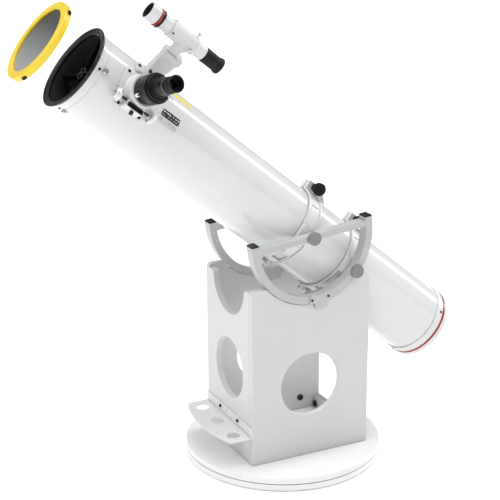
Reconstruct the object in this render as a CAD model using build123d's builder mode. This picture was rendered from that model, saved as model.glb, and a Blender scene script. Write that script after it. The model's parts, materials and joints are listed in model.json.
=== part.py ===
from build123d import *

import os
from math import cos, radians, sin, sqrt

# Dobsonian telescope: a 150 mm f/8 Newtonian tube carried by two D-shaped bearing frames on a
# white rocker box. Millimetres, +Z up, -Y towards the sky end of the tube, origin on the floor
# under the azimuth bolt.

# ---------------------------------------------------------------- driving dimensions
ELEVATION = 39.0  # tube angle above the horizon as modelled
FRAME_TILT = 7.0  # the bearing frames sit this much rear-up at that elevation
PIVOT_Y = 12.0
PIVOT_Z = 576.0  # height of the altitude axis

TUBE_R = 91.0
TUBE_WALL = 1.2
TUBE_FRONT = 645.0  # distances along the tube are counted from the altitude axis
TUBE_REAR = -459.0
RIM_R = 99.0
RIM_FRONT = 660.5
BASE_END = -498.5

BASE_R = 241.0
BOARD = 15.0
GLIDE = 2.5
AZIMUTH_GAP = 1.5
GROUND_TOP = GLIDE + BOARD
TURN_BOTTOM = GROUND_TOP + AZIMUTH_GAP
TURN_TOP = TURN_BOTTOM + BOARD
PIVOT_BOLT_R = 5.0
RUNNING_GAP = 0.06
SKIN_GAP = 0.3  # between curved faces that slide

BOX_HALF = 127.0  # half width of the rocker box outside
BOX_FRONT = -145.0
BOX_REAR = 167.0
BOX_TOP = 471.0
BOX_INSIDE = BOX_HALF - BOARD
FRONT_TOP = 463.0
WINDOW_R = 79.0
WINDOW_Y, WINDOW_Z = 9.0, 216.0
FRONT_WINDOW_R, FRONT_WINDOW_Z = 75.0, 241.0
SCOOP_R = 85.0
BRACE_TOP = 67.0

ARC_R = 157.3  # outer radius of the bearing frames
ARC_DEPTH = 18.0
FRAME_INNER, FRAME_OUTER = 102.0, 130.0  # across the telescope
FRAME_WIDTH = FRAME_OUTER - FRAME_INNER
FRAME_WALL = 2.0
BAR_LOW, BAR_HIGH = -4.0, 9.0
ARM_TOP = 17.0
SEAT_R = ARC_R + 1.5  # concave cut-out in the side panels
PAD_ANGLE = 33.0

RING_STATIONS = {"front": 5.0, "rear": -145.0}
RING_HALF = 20.0
RING_BORE = TUBE_R + 1.4
RING_WEB_R, RING_RIM_R = 94.3, 97.0
RIM_WIDTH = 3.5
RING_SLOTS = (46.0, 62.0)  # angles of the short slots above the side pad
RING_SLOT_LENGTH, RING_SLOT_WIDTH = 22.0, 3.0
RING_PANEL, RING_WINDOW = -31.0, -53.0  # middles of the raised panel and of the window below it
RING_PANEL_ARC, RING_WINDOW_ARC = 21.0, 19.0
RING_INSET = 12.0  # half length of the panel and window along the tube
HINGE_DROP = 103.8
HINGE_PIN_R = 3.0
CLAMP_RISE = 110.0
LUG_THICK = 10.8

TRAY_Z = 105.0
TRAY_SHEET = 2.0
TRAY_FLANGE_TOP = 131.0
TRAY_HOLE_R = 16.3
TRAY_HOLES_X = (-90.0, 0.0, 90.0)
TRAY_HOLES_Y = -178.0
TRAY_SCREW_X, TRAY_SCREW_Z = 49.0, 121.0

SPIDER_STATION = 628.0
SPIDER_ANGLE = 16.0
FOCUS_STATION, FOCUS_ANGLE = 540.0, 19.5
DRAWTUBE_R = 30.5
SHAFT_R = 3.0
SHAFT_Y, SHAFT_Z = DRAWTUBE_R + SHAFT_R + 0.05, 103.0
TWO_INCH_BORE = 25.45
MIRROR_R = 75.0
MIRROR_FRONT = -440.0
FOCAL_LENGTH = 1200.0

FINDER_ANGLE, FINDER_R = 54.5, 215.0
SHOE_TOP = 168.0
FILTER_BACK, FILTER_FRONT = 744.0, 758.0
FILTER_R, FILM_VIEW_R = 96.0, 78.0
FILTER_CLIP_ANGLES = (56.0, -57.0, 180.0)

# ---------------------------------------------------------------- frames of reference
tilt = radians(ELEVATION)
tube_frame = Plane(
    origin=(0, PIVOT_Y, PIVOT_Z), x_dir=(1, 0, 0), z_dir=(0, -cos(tilt), sin(tilt))
)
pieces = {}


def along(station):
    """Plane across the tube at a distance forward of the altitude axis; y points up."""
    return tube_frame.offset(station)


def radial(station, angle, height=0.0):
    """Plane facing out of the tube; its x runs forward along the tube."""
    turn = radians(angle)
    out = tube_frame.x_dir * cos(turn) + tube_frame.y_dir * sin(turn)
    origin = tube_frame.origin + tube_frame.z_dir * station + out * height
    return Plane(origin=origin, x_dir=tube_frame.z_dir, z_dir=out)


def bearing_plane(x):
    """Plane of a bearing frame at a given x; local x runs rearward, local y up."""
    lean = radians(FRAME_TILT)
    return Plane(origin=(x, PIVOT_Y, PIVOT_Z), x_dir=(0, cos(lean), sin(lean)), z_dir=(1, 0, 0))


def side_start(side, inner, outer):
    """Lower x of a slab between two distances from the middle, on the +1 or -1 side."""
    return inner if side > 0 else -outer


def spun(frame, angle):
    """The same frame turned about its own z axis."""
    turn = radians(angle)
    x_dir = frame.x_dir * cos(turn) + frame.y_dir * sin(turn)
    return Plane(origin=frame.origin, x_dir=x_dir, z_dir=frame.z_dir)


def turning_plane(frame):
    """Plane whose x is a radius and whose y runs along the frame's z axis."""
    return Plane(origin=frame.origin, x_dir=frame.x_dir, z_dir=-frame.y_dir)


def turned(frame, *outline):
    """A turned piece: a (radius, height) outline spun about the frame's z axis."""
    with BuildPart() as piece:
        with BuildSketch(turning_plane(frame)):
            Polygon(*outline, align=None)
        revolve(axis=Axis(frame.origin, frame.z_dir))
    return piece


def tubular(frame, inner, outer, low, high):
    """A plain sleeve about the frame's z axis."""
    return turned(frame, (inner, low), (outer, low), (outer, high), (inner, high))


def sector(inner, outer, middle, size):
    """Face between two radii, over an arc centred on the angle called middle."""
    with BuildSketch() as face:
        with BuildLine():
            near = CenterArc((0, 0), inner, middle - size / 2, size)
            far = CenterArc((0, 0), outer, middle - size / 2, size)
            Line(near @ 0, far @ 0)
            Line(near @ 1, far @ 1)
        make_face()
    return face.sketch


# ---------------------------------------------------------------- ground board
with BuildPart() as ground_board:
    with BuildSketch(Plane.XY.offset(GLIDE)):
        Circle(BASE_R)
    extrude(amount=BOARD)
    fillet(ground_board.edges(), 1.2)
    with BuildSketch(Plane.XY.offset(GLIDE)):
        Circle(PIVOT_BOLT_R + 0.2)
    extrude(amount=BOARD, mode=Mode.SUBTRACT)
    with BuildSketch(Plane.XY.offset(GLIDE)):
        Circle(10.0)
    extrude(amount=6.2, mode=Mode.SUBTRACT)
pieces["ground_board"] = ground_board

FOOT_CIRCLE_R = 205.0
with BuildPart() as base_glides:
    with BuildSketch():
        Circle(24.0)
        with PolarLocations(FOOT_CIRCLE_R, 3, start_angle=30):
            Circle(18.0)
    extrude(amount=GLIDE)
    with BuildSketch(Plane.XY.offset(GROUND_TOP)):
        with PolarLocations(190.0, 3, start_angle=90):
            RectangleRounded(22.0, 34.0, 3.0)
    extrude(amount=AZIMUTH_GAP - 0.2)
pieces["base_glides"] = base_glides

with BuildPart() as pivot_bolt:
    with BuildSketch(Plane.XY.offset(GLIDE + 0.3)):
        RegularPolygon(8.5, 6)
    extrude(amount=5.8)
    with BuildSketch(Plane.XY.offset(GLIDE + 6.0)):
        Circle(PIVOT_BOLT_R)
    extrude(amount=TURN_TOP + 12.0 - GLIDE - 6.0)
    with BuildSketch(Plane.XY.offset(TURN_TOP + 0.3)):
        Circle(12.5)
    extrude(amount=1.7)
    with BuildSketch(Plane.XY.offset(TURN_TOP + 2.0)):
        RegularPolygon(9.0, 6)
    extrude(amount=8.0)
pieces["pivot_bolt"] = pivot_bolt

# ---------------------------------------------------------------- rocker box
PANEL_SCREWS = [
    (x, y) for x in (-(BOX_HALF - BOARD / 2), BOX_HALF - BOARD / 2) for y in (-95.0, 125.0)
]
with BuildPart() as turntable_board:
    with BuildSketch(Plane.XY.offset(TURN_BOTTOM)):
        Circle(BASE_R)
    extrude(amount=BOARD)
    fillet(turntable_board.edges(), 1.2)
    with BuildSketch(Plane.XY.offset(TURN_BOTTOM)):
        Circle(PIVOT_BOLT_R + RUNNING_GAP)
        with Locations(*PANEL_SCREWS):
            Circle(2.8)
    extrude(amount=BOARD, mode=Mode.SUBTRACT)
    with BuildSketch(Plane.XY.offset(TURN_BOTTOM)):
        with Locations(*PANEL_SCREWS):
            Circle(5.2)
    extrude(amount=3.2, mode=Mode.SUBTRACT)
pieces["turntable_board"] = turntable_board


def side_panel(side):
    """Upright board with a round window and the concave seat of a bearing frame."""
    low = side_start(side, BOX_INSIDE, BOX_HALF)
    plane = Plane(origin=(low, 0, 0), x_dir=(0, 1, 0), z_dir=(1, 0, 0))
    with BuildPart() as panel:
        with BuildSketch(plane):
            with BuildLine():
                Polyline(
                    (BOX_FRONT, TURN_TOP),
                    (BOX_REAR, TURN_TOP),
                    (BOX_REAR, BOX_TOP),
                    (BOX_FRONT, BOX_TOP),
                    close=True,
                )
            make_face()
            with Locations((PIVOT_Y, PIVOT_Z)):
                Circle(SEAT_R, mode=Mode.SUBTRACT)
            with Locations((WINDOW_Y, WINDOW_Z)):
                Circle(WINDOW_R, mode=Mode.SUBTRACT)
        extrude(amount=BOARD)
        uprights = panel.edges().filter_by(Axis.X).group_by(Axis.Z)[-1]
        fillet(uprights.sort_by(Axis.Y)[0], 12.0)
        uprights = panel.edges().filter_by(Axis.X).group_by(Axis.Z)[-1]
        fillet(uprights.sort_by(Axis.Y)[-1], 12.0)
        fillet(panel.faces().sort_by(Axis.X)[-1].edges(), 0.8)
        fillet(panel.faces().sort_by(Axis.X)[0].edges(), 0.8)
        with BuildSketch(Plane.XY.offset(TURN_TOP)):
            with Locations(*PANEL_SCREWS):
                Circle(2.8)
        extrude(amount=34.0, mode=Mode.SUBTRACT)
    return panel


pieces["side_panel_right"] = side_panel(1)
pieces["side_panel_left"] = side_panel(-1)

with BuildPart() as front_panel:
    with BuildSketch(Plane(origin=(0, BOX_FRONT + BOARD, 0), x_dir=(1, 0, 0), z_dir=(0, -1, 0))):
        with Locations((0, (TURN_TOP + FRONT_TOP) / 2)):
            Rectangle(2 * BOX_INSIDE, FRONT_TOP - TURN_TOP)
        with Locations((0, FRONT_TOP + 2.0)):
            Circle(SCOOP_R, mode=Mode.SUBTRACT)
        with Locations((0, FRONT_WINDOW_Z)):
            Circle(FRONT_WINDOW_R, mode=Mode.SUBTRACT)
    extrude(amount=BOARD)
    scoop_corners = front_panel.edges().filter_by(Axis.Y).group_by(Axis.Z)[-1]
    fillet(scoop_corners.sort_by(Axis.X)[1:3], 9.0)
    with BuildSketch(Plane(origin=(0, BOX_FRONT, 0), x_dir=(1, 0, 0), z_dir=(0, -1, 0))):
        with Locations((-TRAY_SCREW_X, TRAY_SCREW_Z), (TRAY_SCREW_X, TRAY_SCREW_Z)):
            Circle(2.2)
    extrude(amount=-11.0, mode=Mode.SUBTRACT)
pieces["front_panel"] = front_panel

with BuildPart() as rear_brace:
    with BuildSketch(Plane.XY.offset(TURN_TOP)):
        with Locations((0, BOX_REAR - BOARD / 2)):
            Rectangle(2 * BOX_INSIDE, BOARD)
    extrude(amount=BRACE_TOP - TURN_TOP)
    fillet(rear_brace.faces().sort_by(Axis.Z)[-1].edges().filter_by(Axis.X), 1.0)
pieces["rear_brace"] = rear_brace

with BuildPart() as altitude_pads:
    for low in (BOX_INSIDE, -BOX_HALF):
        with BuildSketch(Plane(origin=(low, PIVOT_Y, PIVOT_Z), x_dir=(0, 1, 0), z_dir=(1, 0, 0))):
            add(sector(ARC_R + SKIN_GAP, SEAT_R, -90 - PAD_ANGLE, 9.0))
            add(sector(ARC_R + SKIN_GAP, SEAT_R, -90 + PAD_ANGLE, 9.0))
        extrude(amount=BOARD)
pieces["altitude_pads"] = altitude_pads

TRAY_CORNER_Y, TRAY_NOSE_Y = -203.0, -225.0
with BuildPart() as eyepiece_tray:
    with BuildSketch(Plane.XY.offset(TRAY_Z)):
        with BuildLine():
            Line((BOX_HALF, TRAY_CORNER_Y), (BOX_HALF, BOX_FRONT))
            Line((BOX_HALF, BOX_FRONT), (-BOX_HALF, BOX_FRONT))
            Line((-BOX_HALF, BOX_FRONT), (-BOX_HALF, TRAY_CORNER_Y))
            ThreePointArc((-BOX_HALF, TRAY_CORNER_Y), (0, TRAY_NOSE_Y), (BOX_HALF, TRAY_CORNER_Y))
        make_face()
    extrude(amount=TRAY_SHEET)
    corners = eyepiece_tray.edges().filter_by(Axis.Z).group_by(Axis.Y)[0]
    fillet(corners, 6.0)
    with BuildSketch(Plane.XY.offset(TRAY_Z)):
        with Locations([(x, TRAY_HOLES_Y) for x in TRAY_HOLES_X]):
            Circle(TRAY_HOLE_R)
    extrude(amount=TRAY_SHEET, mode=Mode.SUBTRACT)
    with BuildSketch(Plane.XY.offset(TRAY_Z)):
        with Locations((0, BOX_FRONT - TRAY_SHEET / 2)):
            Rectangle(2 * BOX_HALF, TRAY_SHEET)
    extrude(amount=TRAY_FLANGE_TOP - TRAY_Z)
    with BuildSketch(Plane(origin=(0, BOX_FRONT, 0), x_dir=(1, 0, 0), z_dir=(0, -1, 0))):
        with Locations((-TRAY_SCREW_X, TRAY_SCREW_Z), (TRAY_SCREW_X, TRAY_SCREW_Z)):
            Circle(2.4)
    extrude(amount=TRAY_SHEET, mode=Mode.SUBTRACT)
pieces["eyepiece_tray"] = eyepiece_tray

CONNECTOR_R, BRACE_CONNECTOR_X = 8.0, 102.5
with BuildPart() as rocker_screws:
    with BuildSketch(Plane(origin=(0, BOX_FRONT - TRAY_SHEET, 0), x_dir=(1, 0, 0), z_dir=(0, -1, 0))):
        with Locations((-TRAY_SCREW_X, TRAY_SCREW_Z), (TRAY_SCREW_X, TRAY_SCREW_Z)):
            Circle(4.6)
    extrude(amount=2.6, taper=18)
    with BuildSketch(Plane(origin=(0, BOX_FRONT - TRAY_SHEET, 0), x_dir=(1, 0, 0), z_dir=(0, 1, 0))):
        with Locations((-TRAY_SCREW_X, -TRAY_SCREW_Z), (TRAY_SCREW_X, -TRAY_SCREW_Z)):
            Circle(2.0)
    extrude(amount=10.0)
    with BuildSketch(Plane.XY.offset(TURN_BOTTOM + 0.4)):
        with Locations(*PANEL_SCREWS):
            Circle(5.0)
    extrude(amount=2.6)
    with BuildSketch(Plane.XY.offset(TURN_BOTTOM + 2.0)):
        with Locations(*PANEL_SCREWS):
            Circle(2.6)
    extrude(amount=44.0)
    for low in (-BOX_INSIDE, BOX_INSIDE - 4.0):
        with BuildSketch(Plane(origin=(low, 0, 0), x_dir=(0, 1, 0), z_dir=(1, 0, 0))):
            with Locations((110.0, 66.0), (-110.0, 66.0)):
                Circle(CONNECTOR_R)
        extrude(amount=4.0)
    with BuildSketch(Plane(origin=(0, BOX_REAR - BOARD, 0), x_dir=(1, 0, 0), z_dir=(0, -1, 0))):
        with Locations((-BRACE_CONNECTOR_X, 44.0), (BRACE_CONNECTOR_X, 44.0)):
            Circle(CONNECTOR_R)
    extrude(amount=4.0)
pieces["rocker_screws"] = rocker_screws

# ---------------------------------------------------------------- bearing frames
ARC_MEAN_R = ARC_R - ARC_DEPTH / 2
REAR_BOLT_ANGLE = -(ELEVATION + FRAME_TILT)
REAR_BOLT = (
    ARC_MEAN_R * cos(radians(REAR_BOLT_ANGLE)),
    ARC_MEAN_R * sin(radians(REAR_BOLT_ANGLE)),
)
BAR_MIDDLE = (BAR_LOW + BAR_HIGH) / 2


def bearing_frame(side):
    """D-shaped frame of rectangular tube: a half ring, two short uprights and a crossbar."""
    low = side_start(side, FRAME_INNER, FRAME_OUTER)
    inner_r = ARC_R - ARC_DEPTH
    with BuildPart() as frame:
        with BuildSketch(bearing_plane(low)):
            add(sector(inner_r, ARC_R, -90, 180))
            with Locations((-ARC_MEAN_R, ARM_TOP / 2), (ARC_MEAN_R, ARM_TOP / 2)):
                Rectangle(ARC_DEPTH, ARM_TOP)
            with Locations((0, BAR_MIDDLE)):
                Rectangle(2 * inner_r + 2, BAR_HIGH - BAR_LOW)
        extrude(amount=FRAME_WIDTH)
        with BuildSketch(bearing_plane(low + FRAME_WALL)):
            add(sector(inner_r + FRAME_WALL, ARC_R - FRAME_WALL, -90, 180))
            with Locations((-ARC_MEAN_R, ARM_TOP / 2), (ARC_MEAN_R, ARM_TOP / 2)):
                Rectangle(ARC_DEPTH - 2 * FRAME_WALL, ARM_TOP)
            with Locations((0, BAR_MIDDLE)):
                Rectangle(2 * ARC_MEAN_R, BAR_HIGH - BAR_LOW - 2 * FRAME_WALL)
        extrude(amount=FRAME_WIDTH - 2 * FRAME_WALL, mode=Mode.SUBTRACT)
        with BuildSketch(bearing_plane(low)):
            with Locations((0, BAR_MIDDLE), REAR_BOLT):
                Circle(4.3)
        extrude(amount=FRAME_WIDTH, mode=Mode.SUBTRACT)
    return frame


pieces["bearing_frame_right"] = bearing_frame(1)
pieces["bearing_frame_left"] = bearing_frame(-1)

CAP_THICK = 3.5
with BuildPart() as bearing_end_caps:
    for low in (FRAME_INNER, -FRAME_OUTER):
        base = bearing_plane(low)
        with BuildSketch(base):
            with Locations((-ARC_MEAN_R, ARM_TOP + CAP_THICK / 2), (ARC_MEAN_R, ARM_TOP + CAP_THICK / 2)):
                Rectangle(ARC_DEPTH, CAP_THICK)
        extrude(amount=FRAME_WIDTH)
        with BuildSketch(bearing_plane(low + FRAME_WALL + 0.1)):
            with Locations((-ARC_MEAN_R, ARM_TOP - 4.0), (ARC_MEAN_R, ARM_TOP - 4.0)):
                Rectangle(ARC_DEPTH - 2 * FRAME_WALL - 0.2, 8.0)
        extrude(amount=FRAME_WIDTH - 2 * FRAME_WALL - 0.2)
pieces["bearing_end_caps"] = bearing_end_caps

CLIP_ARC = 22.0
CLIP_SCREW_ANGLE = 8.4
CLIP_THICK = 1.6
TAB_R = ARC_R + 13.0
CLIP_FACES = (
    FRAME_OUTER,
    FRAME_INNER - CLIP_THICK,
    -FRAME_OUTER - CLIP_THICK,
    -FRAME_INNER,
)
with BuildPart() as guide_clips:
    for low in CLIP_FACES:
        with BuildSketch(bearing_plane(low)):
            add(sector(ARC_R - ARC_DEPTH - 2.0, ARC_R + 0.5, -90, CLIP_ARC))
            add(sector(ARC_R, TAB_R, -90, 11.0))
            add(sector(ARC_R - ARC_DEPTH - 6.0, ARC_R - ARC_DEPTH, -90 + 7.0, 5.0))
            add(sector(ARC_R - ARC_DEPTH - 6.0, ARC_R - ARC_DEPTH, -90 - 7.0, 5.0))
        extrude(amount=CLIP_THICK)
pieces["guide_clips"] = guide_clips


def on_arc(angle):
    """Point in the bearing plane on the middle of the arc, measured from its lowest point."""
    turn = radians(angle - 90)
    return (ARC_MEAN_R * cos(turn), ARC_MEAN_R * sin(turn))


CLIP_SCREWS = (on_arc(-CLIP_SCREW_ANGLE), on_arc(CLIP_SCREW_ANGLE))
HEAD_X = FRAME_OUTER + CLIP_THICK
with BuildPart() as cradle_screws:
    for side in (1, -1):
        with BuildSketch(bearing_plane(side_start(side, HEAD_X, HEAD_X + 1.6))):
            with Locations(*CLIP_SCREWS):
                Circle(2.8)
        extrude(amount=1.6)
        with BuildSketch(bearing_plane(side_start(side, FRAME_INNER - 8.0, FRAME_OUTER + 1.0))):
            with Locations((0, BAR_MIDDLE), REAR_BOLT):
                Circle(4.0)
        extrude(amount=FRAME_WIDTH + 9.0)
        with BuildSketch(bearing_plane(side_start(side, FRAME_OUTER, FRAME_OUTER + 5.5))):
            with Locations((0, BAR_MIDDLE), REAR_BOLT):
                RegularPolygon(7.5, 6)
        extrude(amount=5.5)
pieces["cradle_screws"] = cradle_screws

CAP_R = 16.0
CAP_HEIGHT = 9.0
with BuildPart() as bolt_caps:
    for side in (1, -1):
        for place in ((0, BAR_MIDDLE), REAR_BOLT):
            base = bearing_plane(side * (FRAME_OUTER + 0.1))
            if side < 0:
                base = Plane(origin=base.origin, x_dir=base.x_dir, z_dir=(-1, 0, 0))
                place = (place[0], -place[1])
            with BuildSketch(base):
                with Locations(place):
                    Circle(CAP_R)
            extrude(amount=CAP_HEIGHT)
            with BuildSketch(base):
                with Locations(place):
                    Circle(9.0)
            extrude(amount=CAP_HEIGHT - 2.5, mode=Mode.SUBTRACT)
    outer_faces = bolt_caps.faces().filter_by(Axis.X).group_by(Axis.X)
    fillet(outer_faces[0].edges() + outer_faces[-1].edges(), 1.5)
pieces["bolt_caps"] = bolt_caps


def ring_half(station, side):
    """Half of a cast tube ring: rimmed section, window, side pad, forked lug, hinge knuckle."""
    frame = along(station)
    start = -88.8 if side > 0 else 91.2
    rim_low, rim_high = -RING_HALF, RING_HALF
    with BuildPart() as ring:
        with BuildSketch(turning_plane(spun(frame, start))):
            Polygon(
                (RING_BORE, rim_low),
                (RING_RIM_R, rim_low),
                (RING_RIM_R, rim_low + RIM_WIDTH),
                (RING_WEB_R, rim_low + RIM_WIDTH),
                (RING_WEB_R, rim_high - RIM_WIDTH),
                (RING_RIM_R, rim_high - RIM_WIDTH),
                (RING_RIM_R, rim_high),
                (RING_BORE, rim_high),
                align=None,
            )
        revolve(axis=Axis(frame.origin, frame.z_dir), revolution_arc=177.6)
        middle = 0 if side > 0 else 180
        with BuildSketch(along(station - RING_INSET)):
            add(sector(RING_WEB_R - 0.5, RING_RIM_R - 0.7, middle + side * RING_PANEL, RING_PANEL_ARC))
        extrude(amount=2 * RING_INSET)
        with BuildSketch(along(station - RING_INSET)):
            add(sector(RING_BORE - 1.0, RING_RIM_R, middle + side * RING_WINDOW, RING_WINDOW_ARC))
        extrude(amount=2 * RING_INSET, mode=Mode.SUBTRACT)
        for slot in RING_SLOTS:
            with BuildSketch(radial(station, middle + side * slot, RING_BORE - 2.0)):
                Rectangle(RING_SLOT_LENGTH, RING_SLOT_WIDTH)
            extrude(amount=RING_RIM_R - RING_BORE + 3.0, mode=Mode.SUBTRACT)
        with BuildSketch(radial(station, middle, RING_BORE + 0.6)):
            RectangleRounded(2 * RING_HALF, 42.0, 4.0)
        extrude(amount=FRAME_INNER - RING_BORE - 0.6)
        lug_x = side_start(side, 1.2, 1.2 + LUG_THICK)
        with BuildSketch(Plane(origin=frame.origin + frame.x_dir * lug_x, x_dir=frame.z_dir, z_dir=frame.x_dir)):
            with Locations((0, -(RING_BORE + 1.5 + CLAMP_RISE + 8.0) / 2)):
                RectangleRounded(2 * RING_HALF - 2, CLAMP_RISE + 8.0 - RING_BORE - 1.5, 4.0)
            with Locations((0, -CLAMP_RISE)):
                Rectangle(8.6, 18.0, mode=Mode.SUBTRACT)
        extrude(amount=LUG_THICK)
        knuckles = ((-13.5, 13.0), (13.5, 13.0)) if side > 0 else ((0.0, 13.4),)
        for middle_s, length in knuckles:
            with BuildSketch(along(station + middle_s - length / 2)):
                with Locations((0, -HINGE_DROP)):
                    Circle(6.2)
                with Locations((side * 6.0, -(HINGE_DROP + RING_BORE + 1.2) / 2 + 1.0)):
                    Rectangle(9.6, HINGE_DROP - RING_BORE - 1.2)
            extrude(amount=length)
        with BuildSketch(along(station - RING_HALF - 2)):
            with Locations((0, -HINGE_DROP)):
                Circle(HINGE_PIN_R + 0.05)
        extrude(amount=2 * RING_HALF + 4, mode=Mode.SUBTRACT)
        with BuildSketch(frame.offset(-RING_HALF - 1)):
            Circle(RING_BORE)
        extrude(amount=2 * RING_HALF + 2, mode=Mode.SUBTRACT)
        with BuildSketch(bearing_plane(side_start(side, FRAME_INNER - 12.0, FRAME_INNER + 1.0))):
            with Locations((0, BAR_MIDDLE), REAR_BOLT):
                Circle(4.15)
        extrude(amount=13.0, mode=Mode.SUBTRACT)
    return ring


for name, station in RING_STATIONS.items():
    pieces[f"{name}_ring_right"] = ring_half(station, 1)
    pieces[f"{name}_ring_left"] = ring_half(station, -1)

with BuildPart() as ring_hinge_pins:
    for station in RING_STATIONS.values():
        with BuildSketch(along(station - RING_HALF - 1.5)):
            with Locations((0, -HINGE_DROP)):
                Circle(HINGE_PIN_R)
        extrude(amount=2 * RING_HALF + 3)
pieces["ring_hinge_pins"] = ring_hinge_pins

LINER_MIDDLE, LINER_ARC = 24.0, 106.0
with BuildPart() as ring_liners:
    for station in RING_STATIONS.values():
        with BuildSketch(along(station - 17.0)):
            for middle in (LINER_MIDDLE, 180.0 - LINER_MIDDLE):
                add(sector(TUBE_R + SKIN_GAP, RING_BORE, middle, LINER_ARC))
        extrude(amount=34.0)
pieces["ring_liners"] = ring_liners

for name, station in RING_STATIONS.items():
    stud = Plane(
        origin=along(station).origin + tube_frame.y_dir * CLAMP_RISE,
        x_dir=tube_frame.z_dir,
        z_dir=(1, 0, 0),
    )
    pieces[f"{name}_ring_knob"] = turned(
        stud,
        (0, -17.0), (3.8, -17.0), (3.8, 12.6), (9.0, 12.6), (9.0, 26.0), (10.5, 28.5),
        (14.6, 29.0), (15.6, 31.0), (15.6, 41.0), (14.2, 43.6), (9.0, 45.0), (0, 45.4),
    )

# ---------------------------------------------------------------- optical tube
HATCH_R = DRAWTUBE_R + 0.5
COLLAR_SCREW_STATION, COLLAR_SCREW_ANGLE = 641.0, 14.0
CELL_SCREW_STATION, CELL_SCREW_ANGLE = -472.0, 31.0
with BuildPart() as optical_tube:
    with BuildSketch(along(TUBE_REAR)):
        Circle(TUBE_R)
        Circle(TUBE_R - TUBE_WALL, mode=Mode.SUBTRACT)
    extrude(amount=TUBE_FRONT - TUBE_REAR)
    with BuildSketch(radial(FOCUS_STATION, FOCUS_ANGLE)):
        Circle(HATCH_R)
    extrude(amount=TUBE_R + 5, mode=Mode.SUBTRACT)
    for quarter in range(4):
        with BuildSketch(radial(SPIDER_STATION, SPIDER_ANGLE + 90 * quarter, 60.0)):
            Circle(2.2)
        extrude(amount=40.0, mode=Mode.SUBTRACT)
        with BuildSketch(radial(COLLAR_SCREW_STATION, COLLAR_SCREW_ANGLE + 90 * quarter, 60.0)):
            Circle(1.8)
        extrude(amount=40.0, mode=Mode.SUBTRACT)
pieces["optical_tube"] = optical_tube

TUBE_BORE = TUBE_R - TUBE_WALL
with BuildPart() as front_collar:
    with BuildSketch(turning_plane(tube_frame)):
        Polygon(
            (86.5, 636.5), (TUBE_BORE - 0.1, 636.5), (TUBE_BORE - 0.1, TUBE_FRONT + 0.2),
            (93.0, TUBE_FRONT + 0.2), (93.4, TUBE_FRONT + 1.0), (93.4, 651.6), (86.5, 651.6),
            align=None,
        )
    revolve(axis=Axis(tube_frame.origin, tube_frame.z_dir))
    for quarter in range(4):
        with BuildSketch(radial(COLLAR_SCREW_STATION, COLLAR_SCREW_ANGLE + 90 * quarter, 80.0)):
            Circle(1.8)
        extrude(amount=20.0, mode=Mode.SUBTRACT)
pieces["front_collar"] = front_collar
pieces["front_rim"] = turned(
    tube_frame,
    (84.5, 651.8), (93.6, 651.8), (95.0, 654.5), (98.2, 656.5), (RIM_R, 658.0),
    (RIM_R, 659.6), (98.0, RIM_FRONT), (96.0, RIM_FRONT), (91.0, 658.0), (86.0, 657.0), (84.5, 656.0),
)

VANE_HALF = 8.0
with BuildPart() as spider:
    with BuildSketch(along(SPIDER_STATION - VANE_HALF)):
        Circle(14.0)
        with PolarLocations(9.0, 3):
            Circle(2.2, mode=Mode.SUBTRACT)
        Circle(3.1, mode=Mode.SUBTRACT)
    extrude(amount=2 * VANE_HALF)
    for quarter in range(4):
        vane = radial(SPIDER_STATION, SPIDER_ANGLE + 90 * quarter, 13.0)
        with BuildSketch(vane):
            Rectangle(2 * VANE_HALF, 1.2)
        extrude(amount=TUBE_BORE - 13.0 - 3.5)
        with BuildSketch(vane.offset(TUBE_BORE - 13.0 - 9.0)):
            Circle(2.0)
        extrude(amount=14.0)
pieces["spider"] = spider

with BuildPart() as spider_nuts:
    for quarter in range(4):
        seat = radial(SPIDER_STATION, SPIDER_ANGLE + 90 * quarter, TUBE_R + 0.1)
        with BuildSketch(seat):
            Circle(6.5)
            Circle(2.1, mode=Mode.SUBTRACT)
        extrude(amount=4.6)
        with BuildSketch(seat.offset(4.6)):
            Circle(6.5)
        extrude(amount=1.6, taper=30)
pieces["spider_nuts"] = spider_nuts

facing = radial(FOCUS_STATION, FOCUS_ANGLE).z_dir
mirror_normal = (facing - tube_frame.z_dir).normalized()
mirror_plane = Plane(
    origin=along(FOCUS_STATION).origin,
    x_dir=tube_frame.z_dir.cross(facing),
    z_dir=mirror_normal,
)
SECONDARY_R = 17.5
SECONDARY_THICK = 7.0
with BuildPart() as secondary_mirror:
    with BuildSketch(along(FOCUS_STATION - 40.0)):
        Circle(SECONDARY_R)
    extrude(amount=90.0)
    with BuildSketch(mirror_plane):
        Rectangle(160.0, 160.0)
    extrude(amount=-SECONDARY_THICK, mode=Mode.INTERSECT)
pieces["secondary_mirror"] = secondary_mirror

HOLDER_TOP = 603.0
with BuildPart() as secondary_holder:
    with BuildSketch(along(FOCUS_STATION - 60.0)):
        Circle(SECONDARY_R - 0.5)
    extrude(amount=HOLDER_TOP - FOCUS_STATION + 60.0)
    with BuildSketch(mirror_plane.offset(-SECONDARY_THICK - 0.2)):
        Rectangle(260.0, 260.0)
    extrude(amount=-160.0, mode=Mode.INTERSECT)
    with BuildSketch(along(HOLDER_TOP - 14.0)):
        Circle(3.1)
    extrude(amount=15.0, mode=Mode.SUBTRACT)
pieces["secondary_holder"] = secondary_holder

MIRROR_THICK = 24.0
with BuildPart() as primary_mirror:
    sag = MIRROR_R**2 / (4 * FOCAL_LENGTH)
    curve_centre = along(MIRROR_FRONT - sag + 2 * FOCAL_LENGTH).origin
    with BuildSketch(along(MIRROR_FRONT - MIRROR_THICK)):
        Circle(MIRROR_R)
    extrude(amount=MIRROR_THICK)
    with Locations(curve_centre):
        Sphere(2 * FOCAL_LENGTH, mode=Mode.SUBTRACT)
pieces["primary_mirror"] = primary_mirror

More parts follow.
